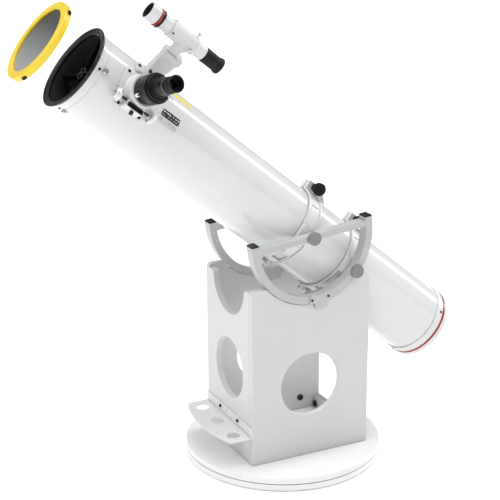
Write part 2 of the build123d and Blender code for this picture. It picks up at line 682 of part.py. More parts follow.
CELL_FRONT = MIRROR_FRONT - MIRROR_THICK - 0.5
CELL_THICK = 7.0
COLLIMATION_R = 58.0
with BuildPart() as mirror_cell:
    with BuildSketch(along(CELL_FRONT - CELL_THICK)):
        Circle(82.0)
        Circle(30.0, mode=Mode.SUBTRACT)
        with PolarLocations(COLLIMATION_R, 3, start_angle=30):
            Circle(2.6, mode=Mode.SUBTRACT)
    extrude(amount=CELL_THICK)
    for arm in range(3):
        with BuildSketch(along(CELL_FRONT)):
            with PolarLocations(79.3, 1, start_angle=90 + 120 * arm):
                Rectangle(5.0, 16.0)
        extrude(amount=MIRROR_THICK + 4.5)
        with BuildSketch(along(MIRROR_FRONT + 1.0)):
            with PolarLocations(75.5, 1, start_angle=90 + 120 * arm):
                Rectangle(10.0, 16.0)
        extrude(amount=3.0)
pieces["mirror_cell"] = mirror_cell

BACK_PLATE_FRONT = -482.0
BAND_FRONT, BAND_BACK = -478.4, -484.6
with BuildPart() as rear_cell:
    with BuildSketch(turning_plane(tube_frame)):
        Polygon(
            (87.0, -442.0), (TUBE_BORE - 0.1, -442.0), (TUBE_BORE - 0.1, TUBE_REAR - 0.2),
            (92.6, TUBE_REAR - 0.2), (93.4, TUBE_REAR - 1.0), (93.4, BAND_FRONT), (91.6, BAND_FRONT),
            (91.6, BAND_BACK), (93.4, BAND_BACK), (93.4, -495.5), (91.5, BASE_END), (88.5, BASE_END),
            (87.0, -497.0), (87.0, -487.0), (40.0, -487.0), (40.0, BACK_PLATE_FRONT),
            (87.0, BACK_PLATE_FRONT),
            align=None,
        )
    revolve(axis=Axis(tube_frame.origin, tube_frame.z_dir))
    with BuildSketch(along(BASE_END)):
        with PolarLocations(COLLIMATION_R, 3, start_angle=30):
            Circle(2.7)
        with PolarLocations(64.0, 3, start_angle=90):
            Circle(14.0)
    extrude(amount=20.0, mode=Mode.SUBTRACT)
    for third in range(3):
        with BuildSketch(radial(CELL_SCREW_STATION, CELL_SCREW_ANGLE + 120 * third, 84.0)):
            Circle(1.8)
        extrude(amount=20.0, mode=Mode.SUBTRACT)
pieces["rear_cell"] = rear_cell
pieces["red_band"] = turned(
    tube_frame,
    (91.8, BAND_BACK + 0.2), (94.2, BAND_BACK + 0.2), (94.5, BAND_BACK + 0.7),
    (94.5, BAND_FRONT - 0.7), (94.2, BAND_FRONT - 0.2), (91.8, BAND_FRONT - 0.2),
)

with BuildPart() as collimation_screws:
    with BuildSketch(along(BASE_END + 1.0)):
        with PolarLocations(COLLIMATION_R, 3, start_angle=30):
            Circle(8.0)
    extrude(amount=5.8)
    with BuildSketch(along(BASE_END + 1.0)):
        with PolarLocations(COLLIMATION_R, 3, start_angle=30):
            Circle(2.4)
    extrude(amount=27.0)
pieces["collimation_screws"] = collimation_screws

# ---------------------------------------------------------------- focuser
focus_frame = radial(FOCUS_STATION, FOCUS_ANGLE)
NECK_TOP = 124.0
SADDLE_R = 95.5
BASE_SCREWS = ((40.0, -29.0), (-40.0, -29.0), (28.5, 42.0), (-28.5, 42.0))


def screw_seat(y):
    """Height of the counterbored seat of a base screw, y across the saddle."""
    return sqrt(SADDLE_R**2 - y**2) - 1.4


with BuildPart() as focuser_base:
    with BuildSketch(focus_frame.offset(55.0)):
        with BuildLine():
            Polyline(
                (-50, -37.5), (50, -37.5), (50, 14), (34, 16), (34, 48), (-34, 48), (-34, 16), (-50, 14),
                close=True,
            )
        make_face()
    extrude(amount=60.0)
    fillet(focuser_base.edges().filter_by(Axis(focus_frame.origin, focus_frame.z_dir)), 5.0)
    with BuildSketch(along(FOCUS_STATION - 70.0)):
        Circle(SADDLE_R)
    extrude(amount=140.0, mode=Mode.INTERSECT)
    with BuildSketch(focus_frame.offset(84.0)):
        Circle(39.5)
    extrude(amount=13.0)
    with BuildSketch(focus_frame.offset(97.0)):
        Circle(39.5)
    extrude(amount=6.0, taper=31)
    with BuildSketch(focus_frame.offset(84.0)):
        Circle(36.0)
    extrude(amount=NECK_TOP - 84.0)
    fillet(focuser_base.faces().sort_by(Axis(focus_frame.origin, focus_frame.z_dir))[-1].edges(), 1.5)
    with BuildSketch(focus_frame.offset(84.0)):
        with Locations((0, 38.5)):
            RectangleRounded(44.0, 17.0, 3.0)
    extrude(amount=112.0 - 84.0)
    with BuildSketch(along(FOCUS_STATION - 80.0)):
        Circle(TUBE_R + 0.1)
    extrude(amount=160.0, mode=Mode.SUBTRACT)
    with BuildSketch(focus_frame.offset(55.0)):
        Circle(DRAWTUBE_R + RUNNING_GAP)
    extrude(amount=80.0, mode=Mode.SUBTRACT)
    shaft_plane = Plane(
        origin=focus_frame.origin + focus_frame.z_dir * SHAFT_Z + focus_frame.y_dir * SHAFT_Y,
        x_dir=focus_frame.z_dir,
        z_dir=focus_frame.x_dir,
    )
    with BuildSketch(shaft_plane.offset(-60)):
        Circle(SHAFT_R + RUNNING_GAP)
    extrude(amount=120.0, mode=Mode.SUBTRACT)
    for x, y in BASE_SCREWS:
        with BuildSketch(focus_frame.offset(60.0)):
            with Locations((x, y)):
                Circle(2.0)
        extrude(amount=60.0, mode=Mode.SUBTRACT)
        with BuildSketch(focus_frame.offset(screw_seat(y))):
            with Locations((x, y)):
                Circle(3.6)
        extrude(amount=20.0, mode=Mode.SUBTRACT)
pieces["focuser_base"] = focuser_base

with BuildPart() as pinion_cover:
    with BuildSketch(focus_frame.offset(112.1)):
        with Locations((0, 41.7)):
            RectangleRounded(40.0, 10.0, 2.0)
    extrude(amount=2.2)
    with BuildSketch(focus_frame.offset(114.3)):
        with Locations((15.0, 41.7), (-15.0, 41.7)):
            Circle(2.4)
    extrude(amount=1.4)
pieces["pinion_cover"] = pinion_cover

KNOB_START, KNOB_END = 37.0, 54.0
pieces["pinion_shaft"] = turned(
    shaft_plane, (0, -KNOB_END + 3), (SHAFT_R, -KNOB_END + 3), (SHAFT_R, KNOB_END - 3), (0, KNOB_END - 3)
)
KNOB_OUTLINE = (
    (SHAFT_R + 0.05, 37.0), (7.0, 37.0), (7.0, 40.0), (13.6, 40.4), (15.0, 41.6), (15.0, 46.0),
    (12.6, 47.6), (12.6, 50.2), (11.2, 52.6), (8.0, 53.4), (7.6, KNOB_END), (0, KNOB_END), (0, 51.3),
    (SHAFT_R + 0.05, 51.3),
)
back_shaft = Plane(origin=shaft_plane.origin, x_dir=shaft_plane.x_dir, z_dir=-shaft_plane.z_dir)
with BuildPart() as focus_knobs:
    for frame in (shaft_plane, back_shaft):
        with BuildSketch(turning_plane(frame)):
            Polygon(*KNOB_OUTLINE, align=None)
        revolve(axis=Axis(frame.origin, frame.z_dir))
pieces["focus_knobs"] = focus_knobs

DRAW_BOTTOM, COLLAR_BOTTOM, COLLAR_TOP = 86.0, 138.0, 168.0
LOCK_HEIGHT, LOCK_ANGLE = 147.0, 52.0
with BuildPart() as drawtube:
    with BuildSketch(turning_plane(focus_frame)):
        Polygon(
            (28.6, DRAW_BOTTOM), (DRAWTUBE_R, DRAW_BOTTOM), (DRAWTUBE_R, COLLAR_BOTTOM), (31.6, 138.6),
            (31.6, 147.5), (30.8, 148.2), (30.8, 150.0), (32.6, 150.8), (32.6, 160.0), (32.0, 161.0),
            (32.0, 162.5), (32.6, 163.5), (32.6, 166.5), (31.4, COLLAR_TOP), (TWO_INCH_BORE, COLLAR_TOP),
            (TWO_INCH_BORE, 140.0), (28.6, 137.0),
            align=None,
        )
    revolve(axis=Axis(focus_frame.origin, focus_frame.z_dir))
    spin = radians(LOCK_ANGLE)
    lock_out = focus_frame.x_dir * cos(spin) + focus_frame.y_dir * sin(spin)
    lock_plane = Plane(
        origin=focus_frame.origin + focus_frame.z_dir * 144.0, x_dir=focus_frame.z_dir, z_dir=lock_out
    )
    with BuildSketch(lock_plane):
        Circle(2.05)
    extrude(amount=40.0, mode=Mode.SUBTRACT)
pieces["drawtube"] = drawtube

pieces["drawtube_screw"] = turned(
    lock_plane,
    (0, 27.0), (2.0, 27.0), (2.0, 33.0), (4.4, 33.0), (4.4, 40.0), (3.6, 41.2), (0, 41.2),
)

TENSION_PLANE = Plane(
    origin=focus_frame.origin + focus_frame.z_dir * SHAFT_Z,
    x_dir=focus_frame.x_dir,
    z_dir=focus_frame.y_dir,
)
pieces["tension_screw"] = turned(
    TENSION_PLANE,
    (0, 47.3), (2.4, 47.3), (2.4, 49.0), (4.6, 49.0), (4.6, 55.0), (3.8, 56.2), (0, 56.2),
)

pieces["eyepiece_adapter"] = turned(
    focus_frame,
    (15.97, 150.0), (25.38, 150.0), (25.38, 168.1), (29.0, 168.2), (29.6, 169.2), (29.6, 172.0),
    (28.0, 173.4), (23.0, 174.0), (22.4, 175.2), (22.4, 183.0), (21.4, 184.0), (15.97, 184.0),
)
ADAPTER_SCREW_ANGLE = 167.0
spin = radians(ADAPTER_SCREW_ANGLE)
adapter_plane = Plane(
    origin=focus_frame.origin + focus_frame.z_dir * 179.0,
    x_dir=focus_frame.z_dir,
    z_dir=focus_frame.x_dir * cos(spin) + focus_frame.y_dir * sin(spin),
)
pieces["adapter_screw"] = turned(
    adapter_plane,
    (0, 22.5), (2.2, 22.5), (2.2, 27.0), (3.8, 27.0), (3.8, 36.0), (3.0, 37.0), (0, 37.0),
)

pieces["eyepiece_barrel"] = turned(
    focus_frame,
    (13.6, 156.0), (15.0, 156.0), (15.9, 157.0), (15.9, 169.0), (15.2, 169.8), (15.2, 173.0),
    (15.9, 173.8), (15.9, 184.6), (13.6, 184.6),
)
pieces["eyepiece_body"] = turned(
    focus_frame,
    (11.0, 184.8), (19.8, 184.8), (20.6, 185.8), (20.6, 190.0), (19.4, 191.6), (19.0, 194.0),
    (17.4, 206.0), (18.4, 208.0), (18.4, 212.0), (16.6, 213.0), (16.6, 216.0), (11.0, 216.0),
)
pieces["eyecup"] = turned(
    focus_frame,
    (11.5, 216.2), (17.2, 216.2), (17.6, 219.0), (17.2, 226.0), (18.0, 233.0), (18.5, 236.5),
    (17.6, 238.0), (16.0, 237.4), (14.0, 230.0), (13.4, 222.0), (11.5, 222.0),
)

# ---------------------------------------------------------------- finder scope
shoe_frame = radial(0.0, FINDER_ANGLE)
finder_frame = Plane(
    origin=tube_frame.origin + shoe_frame.z_dir * FINDER_R,
    x_dir=shoe_frame.z_dir,
    z_dir=tube_frame.z_dir,
)
SHOE_STATION = 529.0
with BuildPart() as finder_shoe:
    foot = radial(SHOE_STATION, FINDER_ANGLE, 86.0)
    with BuildSketch(foot):
        RectangleRounded(74.0, 30.0, 6.0)
    extrude(amount=14.0)
    with BuildSketch(foot.offset(13.0)):
        RectangleRounded(36.0, 29.0, 6.0)
    with BuildSketch(radial(SHOE_STATION, FINDER_ANGLE, SHOE_TOP - 9.0)):
        RectangleRounded(44.0, 26.0, 5.0)
    loft()
    with BuildSketch(radial(SHOE_STATION, FINDER_ANGLE, SHOE_TOP - 9.0)):
        RectangleRounded(46.0, 32.0, 3.0)
    extrude(amount=13.0)
    groove = Plane(
        origin=radial(SHOE_STATION - 30.0, FINDER_ANGLE, SHOE_TOP).origin,
        x_dir=shoe_frame.z_dir,
        z_dir=tube_frame.z_dir,
    )
    with BuildSketch(groove):
        with BuildLine():
            Polyline((-4.2, -11.2), (4.2, -7.6), (4.2, 7.6), (-4.2, 11.2), close=True)
        make_face()
    extrude(amount=60.0, mode=Mode.SUBTRACT)
    with BuildSketch(along(SHOE_STATION - 60.0)):
        Circle(TUBE_R + 0.1)
    extrude(amount=120.0, mode=Mode.SUBTRACT)
pieces["finder_shoe"] = finder_shoe

HOLDER_BACK, HOLDER_FRONT = 512.0, 580.0
FINDER_SCREWS = ((574.0, 40.0), (574.0, 160.0), (574.0, 280.0), (520.0, 20.0), (520.0, 265.0))


def finder_seat(station, angle):
    """Plane of a small screw through the finder holder, facing out."""
    turn = radians(angle)
    out = finder_frame.x_dir * cos(turn) + finder_frame.y_dir * sin(turn)
    origin = finder_frame.origin + finder_frame.z_dir * station + out * 17.6
    return Plane(origin=origin, x_dir=finder_frame.z_dir, z_dir=out)


STALK_STATION = 534.0
with BuildPart() as finder_bracket:
    with BuildSketch(groove.offset(7.0)):
        with BuildLine():
            Polyline((-4.0, -10.9), (4.0, -7.4), (4.0, 7.4), (-4.0, 10.9), close=True)
        make_face()
    extrude(amount=46.0)
    with BuildSketch(radial(STALK_STATION, FINDER_ANGLE, SHOE_TOP + 2.0)):
        RectangleRounded(34.0, 14.0, 5.0)
    with BuildSketch(radial(STALK_STATION, FINDER_ANGLE, SHOE_TOP + 16.0)):
        RectangleRounded(27.0, 14.0, 5.0)
    with BuildSketch(radial(STALK_STATION, FINDER_ANGLE, FINDER_R - 14.0)):
        RectangleRounded(46.0, 20.0, 5.0)
    loft()
    with BuildSketch(finder_frame.offset(HOLDER_BACK)):
        Circle(18.9)
    extrude(amount=HOLDER_FRONT - HOLDER_BACK)
    with BuildSketch(finder_frame.offset(HOLDER_BACK - 5)):
        Circle(17.5)
    extrude(amount=HOLDER_FRONT - HOLDER_BACK + 10, mode=Mode.SUBTRACT)
    for station, angle in FINDER_SCREWS:
        with BuildSketch(finder_seat(station, angle)):
            Circle(2.0)
        extrude(amount=10.0, mode=Mode.SUBTRACT)
pieces["finder_bracket"] = finder_bracket

pieces["finder_tube"] = turned(
    finder_frame,
    (13.0, 486.0), (15.2, 486.0), (16.0, 487.0), (16.0, 507.0), (17.2, 509.0), (17.2, 605.4),
    (15.8, 606.0), (15.8, 612.0), (14.2, 612.0), (14.2, 509.0), (13.0, 506.0),
)
pieces["finder_ring"] = turned(
    finder_frame,
    (16.1, 606.2), (19.6, 606.2), (20.2, 607.0), (20.2, 616.0), (19.6, 616.8), (16.1, 616.8),
)
pieces["finder_objective"] = turned(
    finder_frame,
    (16.1, 617.2), (18.6, 617.2), (18.9, 618.0), (19.4, 640.0), (19.0, 641.0), (17.4, 641.0),
    (16.8, 639.0), (16.8, 624.0), (0, 625.6), (0, 621.0), (16.1, 621.0),
)
pieces["finder_eyepiece"] = turned(
    finder_frame,
    (0, 452.0), (0, 449.0), (12.6, 449.0), (13.4, 440.0), (14.6, 438.0), (17.6, 438.0), (18.6, 440.0),
    (18.2, 444.0), (16.4, 448.0), (16.0, 452.0), (16.6, 484.0), (16.0, 485.6), (12.8, 485.6),
    (12.8, 497.0), (11.4, 497.0), (11.4, 452.0),
)

with BuildPart() as finder_screws:
    for station, angle in FINDER_SCREWS:
        with BuildSketch(finder_seat(station, angle)):
            Circle(1.8)
        extrude(amount=3.6)
        if station < 530:
            with BuildSketch(finder_seat(station, angle).offset(3.6)):
                Circle(4.2)
            extrude(amount=9.0)
pieces["finder_screws"] = finder_screws

# ---------------------------------------------------------------- small fasteners on the tube
SMALL_SCREWS = (
    (COLLAR_SCREW_STATION, COLLAR_SCREW_ANGLE, TUBE_R, 4),
    (CELL_SCREW_STATION, CELL_SCREW_ANGLE, 93.4, 3),
)
with BuildPart() as tube_screws:
    for station, angle, face_r, count in SMALL_SCREWS:
        for step in range(count):
            seat = radial(station, angle + 360 / count * step, face_r - 3.0)
            with BuildSketch(seat):
                Circle(1.6)
            extrude(amount=3.2)
            with BuildSketch(seat.offset(3.1)):
                Circle(3.0)
            extrude(amount=1.5)
    for x, y in BASE_SCREWS:
        seat = focus_frame.offset(screw_seat(y) + 0.1)
        with BuildSketch(seat):
            with Locations((x, y)):
                Circle(3.2)
        extrude(amount=3.0)
        with BuildSketch(seat):
            with Locations((x, y)):
                Circle(1.8)
        extrude(amount=-1.4)
    with BuildSketch(along(HOLDER_TOP - 12.0)):
        Circle(3.0)
    extrude(amount=SPIDER_STATION + VANE_HALF + 1.0 - HOLDER_TOP + 12.0)
    with BuildSketch(along(HOLDER_TOP + 0.2)):
        with PolarLocations(9.0, 3):
            Circle(2.0)
    extrude(amount=SPIDER_STATION + VANE_HALF + 2.0 - HOLDER_TOP)
    with BuildSketch(along(SPIDER_STATION + VANE_HALF + 0.1)):
        Circle(5.0)
        with PolarLocations(9.0, 3):
            Circle(3.0)
    extrude(amount=3.0)
    for x in (-32.0, 32.0):
        with BuildSketch(radial(SHOE_STATION + x, FINDER_ANGLE, 100.2)):
            Circle(3.4)
        extrude(amount=2.2)
pieces["tube_screws"] = tube_screws

# ---------------------------------------------------------------- solar filter
pieces["filter_ring"] = turned(
    tube_frame,
    (FILM_VIEW_R, 753.0), (92.0, 753.0), (92.0, FILTER_BACK), (95.4, FILTER_BACK), (FILTER_R, 744.6),
    (FILTER_R, 756.6), (94.6, FILTER_FRONT), (79.0, FILTER_FRONT), (FILM_VIEW_R, 757.0),
)
pieces["filter_film"] = tubular(tube_frame, 0, 91.6, 751.6, 752.8)
with BuildPart() as filter_clips:
    for angle in FILTER_CLIP_ANGLES:
        with BuildSketch(radial((FILTER_BACK + FILTER_FRONT) / 2 - 2.0, angle, FILTER_R + 0.1)):
            RectangleRounded(7.0, 12.0, 1.5)
        extrude(amount=2.4)
pieces["filter_clips"] = filter_clips

# ---------------------------------------------------------------- write the pieces
os.makedirs("parts", exist_ok=True)
for label, piece in pieces.items():
    piece.part.label = label
    export_step(piece.part, f"parts/{label}.step")
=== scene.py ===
import json
import math

import bmesh
import bpy
from mathutils import Matrix, Vector


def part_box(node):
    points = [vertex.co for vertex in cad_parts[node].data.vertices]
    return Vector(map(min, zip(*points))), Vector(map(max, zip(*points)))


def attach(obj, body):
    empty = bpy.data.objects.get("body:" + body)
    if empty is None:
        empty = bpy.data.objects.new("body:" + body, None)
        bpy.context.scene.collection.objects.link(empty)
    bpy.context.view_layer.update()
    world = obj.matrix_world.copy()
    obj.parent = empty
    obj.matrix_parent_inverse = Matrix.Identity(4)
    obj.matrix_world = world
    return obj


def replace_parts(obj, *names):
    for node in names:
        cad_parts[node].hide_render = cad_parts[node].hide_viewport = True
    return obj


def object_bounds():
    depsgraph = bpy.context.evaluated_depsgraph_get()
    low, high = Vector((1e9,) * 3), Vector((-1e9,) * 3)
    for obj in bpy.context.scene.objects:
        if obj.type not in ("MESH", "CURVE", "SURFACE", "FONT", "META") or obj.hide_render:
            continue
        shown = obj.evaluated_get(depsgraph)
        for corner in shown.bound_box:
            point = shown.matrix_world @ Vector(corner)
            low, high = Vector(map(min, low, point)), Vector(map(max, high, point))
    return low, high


# Looks of the Dobsonian telescope. Metres, row frame: +Z up, -Y to the sky end of the tube,
# +X to the side that carries the focuser.
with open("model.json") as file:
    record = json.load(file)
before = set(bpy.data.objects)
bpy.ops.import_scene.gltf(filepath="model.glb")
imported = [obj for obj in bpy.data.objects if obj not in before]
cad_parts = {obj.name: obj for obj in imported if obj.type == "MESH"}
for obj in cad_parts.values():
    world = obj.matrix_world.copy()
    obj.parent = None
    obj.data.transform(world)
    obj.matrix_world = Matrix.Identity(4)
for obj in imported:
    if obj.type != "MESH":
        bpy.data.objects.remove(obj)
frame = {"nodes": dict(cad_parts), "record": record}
cad_low, cad_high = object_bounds()
record = frame["record"]
joints = {joint["name"]: joint for joint in record["behaviour"]["joints"]}
nodes = frame["nodes"]

MM = 0.001
PIVOT = Vector(joints["altitude"]["pos_m"])
ALONG = Vector(joints["tube_slide"]["axis"]).normalized()
SIDE = Vector((1, 0, 0))
UP = ALONG.cross(SIDE)
TUBE_R = 91
TUBE_BORE = 90.3 * MM
FINDER_BORE = 17.3 * MM
FOCUS_OUT = Vector(joints["drawtube_slide"]["axis"]).normalized()
SHAFT = Vector(joints["focus_turn"]["pos_m"])
FOCUS_FOOT = PIVOT + ALONG * (SHAFT - PIVOT).dot(ALONG)
FINDER_LINE = Vector(joints["finder_focus"]["pos_m"])


# ---------------------------------------------------------------- mesh helpers
def placed(origin, z_axis, x_axis):
    """Matrix of a local frame from its origin and two directions."""
    z_axis = z_axis.normalized()
    x_axis = (x_axis - z_axis * x_axis.dot(z_axis)).normalized()
    y_axis = z_axis.cross(x_axis)
    matrix = Matrix((x_axis, y_axis, z_axis)).transposed().to_4x4()
    matrix.translation = origin
    return matrix


def tube_point(station, angle, radius):
    """Point at a distance along the tube (mm), an angle from +X towards the top, a radius (mm)."""
    turn = math.radians(angle)
    out = SIDE * math.cos(turn) + UP * math.sin(turn)
    return PIVOT + ALONG * (station * MM) + out * (radius * MM)


def piece(name, mesh, body, material, smooth_angle=35.0):
    """Adds a finished mesh as a piece that rides on a body."""
    obj = bpy.data.objects.new(name, mesh)
    bpy.context.scene.collection.objects.link(obj)
    mesh.materials.append(material)
    shade(obj, smooth_angle)
    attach(obj, body)
    return obj


def shade(obj, smooth_angle):
    """Smooth shading that keeps edges sharper than the angle."""
    mesh = obj.data
    limit = math.cos(math.radians(smooth_angle))
    work = bmesh.new()
    work.from_mesh(mesh)
    for edge in work.edges:
        sides = edge.link_faces
        edge.smooth = len(sides) == 2 and sides[0].normal.dot(sides[1].normal) > limit
    for face in work.faces:
        face.smooth = True
    work.to_mesh(mesh)
    work.free()


def lathe(name, matrix, outline, segments=96, flute=None):
    """Mesh of a (radius, height) outline in mm turned about the matrix's z; flute changes radii."""
    work = bmesh.new()
    rings = []
    for radius, height in outline:
        if radius <= 0:
            rings.append([work.verts.new(matrix @ Vector((0, 0, height * MM)))])
            continue
        ring = []
        for step in range(segments):
            turn = math.tau * step / segments
            reach = radius * (flute(radius, height, turn) if flute else 1.0)
            local = Vector((reach * math.cos(turn), reach * math.sin(turn), height)) * MM
            ring.append(work.verts.new(matrix @ local))
        rings.append(ring)
    closed = outline[0][0] > 0 and outline[-1][0] > 0
    pairs = list(zip(rings, rings[1:] + rings[:1])) if closed else list(zip(rings, rings[1:]))
    for lower, upper in pairs:
        for step in range(segments):
            after = (step + 1) % segments
            if len(lower) == 1 and len(upper) == 1:
                continue
            if len(lower) == 1:
                work.faces.new((lower[0], upper[after], upper[step]))
            elif len(upper) == 1:
                work.faces.new((lower[step], lower[after], upper[0]))
            else:
                work.faces.new((lower[step], lower[after], upper[after], upper[step]))
    bmesh.ops.recalc_face_normals(work, faces=work.faces)
    mesh = bpy.data.meshes.new(name)
    work.to_mesh(mesh)
    work.free()
    return mesh


def sticker(name, radius, station, angle, length, width, thick=0.15, corner=2.0):
    """Thin curved label wrapped on the tube, rounded corners; sizes in mm, angle at its middle."""
    work = bmesh.new()
    columns, rows = 14, 14
    grid = []
    for column in range(columns + 1):
        along = -length / 2 + length * column / columns
        inset = max(0.0, abs(along) - (length / 2 - corner))
        trim = corner - math.sqrt(max(corner**2 - inset**2, 0.0))
        line = []
        for row in range(rows + 1):
            across = (-0.5 + row / rows) * (width - 2 * trim)
            spot = angle + math.degrees(across / radius)
            line.append(work.verts.new(tube_point(station + along, spot, radius + thick)))
        grid.append(line)
    for column in range(columns):
        for row in range(rows):
            corners = (
                grid[column][row], grid[column + 1][row],
                grid[column + 1][row + 1], grid[column][row + 1],
            )
            work.faces.new(corners)
    bmesh.ops.recalc_face_normals(work, faces=work.faces)
    mesh = bpy.data.meshes.new(name)
    work.to_mesh(mesh)
    work.free()
    return mesh


FOCUS_FRAME = placed(FOCUS_FOOT, FOCUS_OUT, ALONG)


# ---------------------------------------------------------------- materials
class Surface:
    """A procedural material built round one Principled shader."""

    def __init__(self, name):
        self.material = bpy.data.materials.new(name)
        self.material.use_nodes = True
        self.tree = self.material.node_tree
        self.tree.nodes.clear()
        self.shader = self.tree.nodes.new("ShaderNodeBsdfPrincipled")
        self.output = self.tree.nodes.new("ShaderNodeOutputMaterial")
        self.link(self.shader.outputs["BSDF"], self.output.inputs["Surface"])
        self.place = self.tree.nodes.new("ShaderNodeTexCoord").outputs["Object"]

    def link(self, source, target):
        self.tree.links.new(source, target)

    def node(self, kind, settings=None, **sockets):
        """New node with attributes from settings and input sockets by name."""
        node = self.tree.nodes.new(kind)
        for key, value in (settings or {}).items():
            setattr(node, key, value)
        for key, value in sockets.items():
            socket = node.inputs[key]
            if isinstance(value, bpy.types.NodeSocket):
                self.link(value, socket)
            else:
                socket.default_value = value
        return node

    def noise(self, scale, detail=3.0, rough=0.55, stretch=None):
        """Noise factor at a scale per metre, stretched along the axes if asked."""
        place = self.place
        if stretch:
            mapping = self.node("ShaderNodeMapping", Vector=place)
            mapping.inputs["Scale"].default_value = stretch
            place = mapping.outputs["Vector"]
        node = self.node(
            "ShaderNodeTexNoise", Vector=place, Scale=scale, Detail=detail, Roughness=rough
        )
        return node.outputs["Fac"]

    def ramp(self, value, low, high, out_low=0.0, out_high=1.0):
        """Value mapped from one range to another and clamped."""
        node = self.node("ShaderNodeMapRange", {"clamp": True}, Value=value)
        node.inputs["From Min"].default_value = low
        node.inputs["From Max"].default_value = high
        node.inputs["To Min"].default_value = out_low
        node.inputs["To Max"].default_value = out_high
        return node.outputs["Result"]

    def maths(self, operation, first, second=0.0):
        node = self.tree.nodes.new("ShaderNodeMath")
        node.operation = operation
        for socket, value in zip(node.inputs, (first, second)):
            if isinstance(value, bpy.types.NodeSocket):
                self.link(value, socket)
            else:
                socket.default_value = value
        return node.outputs[0]

    def blend(self, factor, first, second):
        """Colour mix; each side is a colour or a socket."""
        node = self.tree.nodes.new("ShaderNodeMix")
        node.data_type = "RGBA"
        sides = ((node.inputs[6], first), (node.inputs[7], second))
        self.link(factor, node.inputs[0])
        for socket, value in sides:
            if isinstance(value, bpy.types.NodeSocket):
                self.link(value, socket)
            else:
                socket.default_value = (*value, 1.0)
        return node.outputs[2]

    def crease_shade(self, colour, shade, reach):
        """Painted shade: darkens inner corners and creases, found by ambient occlusion, towards a
        darker colour.
        """
        occlusion = self.node("ShaderNodeAmbientOcclusion", {"samples": 8}, Distance=reach)
        covered = self.ramp(occlusion.outputs["AO"], 0.25, 0.9, 1.0, 0.0)
        return self.blend(covered, colour, shade)

    def edges(self, width):
        """Mask that is 1 on sharp outer and inner edges of the shape."""
        rounded = self.node("ShaderNodeBevel", {"samples": 6}, Radius=width).outputs["Normal"]
        flat = self.tree.nodes.new("ShaderNodeNewGeometry").outputs["Normal"]
        dot = self.node("ShaderNodeVectorMath", {"operation": "DOT_PRODUCT"})
        self.link(rounded, dot.inputs[0])
        self.link(flat, dot.inputs[1])
        return self.ramp(dot.outputs["Value"], 0.72, 0.985, 1.0, 0.0)

    def relief(self, height, depth, bevel=0.0):
        """Bump from a height map, on top of softly rounded edges."""
        bump = self.node("ShaderNodeBump", Height=height, Distance=depth, Strength=1.0)
        if bevel:
            soft = self.node("ShaderNodeBevel", {"samples": 6}, Radius=bevel)
            self.link(soft.outputs["Normal"], bump.inputs["Normal"])
        self.link(bump.outputs["Normal"], self.shader.inputs["Normal"])

    def set(self, **values):
        for key, value in values.items():
            socket = self.shader.inputs[key.replace("_", " ")]
            if isinstance(value, bpy.types.NodeSocket):
                self.link(value, socket)
            else:
                socket.default_value = value

    def from_point(self, origin):
        """Place counted from a point."""
        minus = self.node("ShaderNodeVectorMath", {"operation": "SUBTRACT"})
        self.link(self.place, minus.inputs[0])
        minus.inputs[1].default_value = origin
        return minus.outputs[0]

    def height_along(self, direction, origin):
        """Distance of the place along a direction, counted from a point."""
        dot = self.node("ShaderNodeVectorMath", {"operation": "DOT_PRODUCT"})
        self.link(self.from_point(origin), dot.inputs[0])
        dot.inputs[1].default_value = direction
        return dot.outputs["Value"]

    def axis_distance(self, origin):
        """Distance from a line parallel to the tube through a point, in metres."""
        cross = self.node("ShaderNodeVectorMath", {"operation": "CROSS_PRODUCT"})
        self.link(self.from_point(origin), cross.inputs[0])
        cross.inputs[1].default_value = ALONG
        length = self.node("ShaderNodeVectorMath", {"operation": "LENGTH"})
        self.link(cross.outputs[0], length.inputs[0])
        return length.outputs["Value"]


def painted(name, colour, rough, grain=2600.0, depth=0.00003, coat=0.0, metal=0.0, edge=0.0007,
            patch=0.05, spread=0.06, dust_and_shade=(0.5, 0.5, 0.49), specular=0.5):
    """Sprayed or moulded finish: patchy tone, uneven gloss, fine texture, soft edges painted paler as
    highlight and wear, painted shade in creases.
    """
    s = Surface(name)
    pale = tuple(min(1.0, c * (1 + patch) + 0.002) for c in colour)
    deep = tuple(c * (1 - patch) for c in colour)
    tone = s.blend(s.ramp(s.noise(9.0, 4.0), 0.35, 0.65), deep, pale)
    fleck = s.ramp(s.noise(grain * 0.35, 2.0), 0.66, 0.74)
    tone = s.blend(s.maths("MULTIPLY", fleck, 0.35), tone, tuple(c * 0.86 for c in colour))
    # Painted highlight and wear: the edges are paler than the paint.
    rim = tuple(min(1.0, c * 1.08 + 0.012) for c in colour)
    tone = s.blend(s.maths("MULTIPLY", s.edges(edge * 1.6), 0.55), tone, rim)
    # Painted shade: creases and inner corners darkened by ambient occlusion.
    tone = s.crease_shade(tone, tuple(c * d * 1.35 for c, d in zip(colour, dust_and_shade)), 0.006)
    gloss = s.ramp(s.noise(55.0, 5.0, 0.7), 0.3, 0.7, rough - spread, rough + spread)
    rub = s.ramp(s.noise(140.0, 3.0, 0.6, (1.0, 1.0, 14.0)), 0.62, 0.70, 0.0, spread)
    gloss = s.maths("ADD", gloss, rub)
    s.set(Base_Color=tone, Roughness=gloss, Metallic=metal, Coat_Weight=coat, Coat_Roughness=0.08)
    s.set(Specular_IOR_Level=specular)
    s.relief(s.noise(grain, 2.0), depth, edge)
    return s


def laminate(name, colour):
    """White melamine board: faint orange peel, edges painted paler as highlight and wear, handling
    marks.
    """
    s = painted(name, colour, 0.36, grain=1500.0, depth=0.00004, patch=0.012, edge=0.0012)
    return s.material


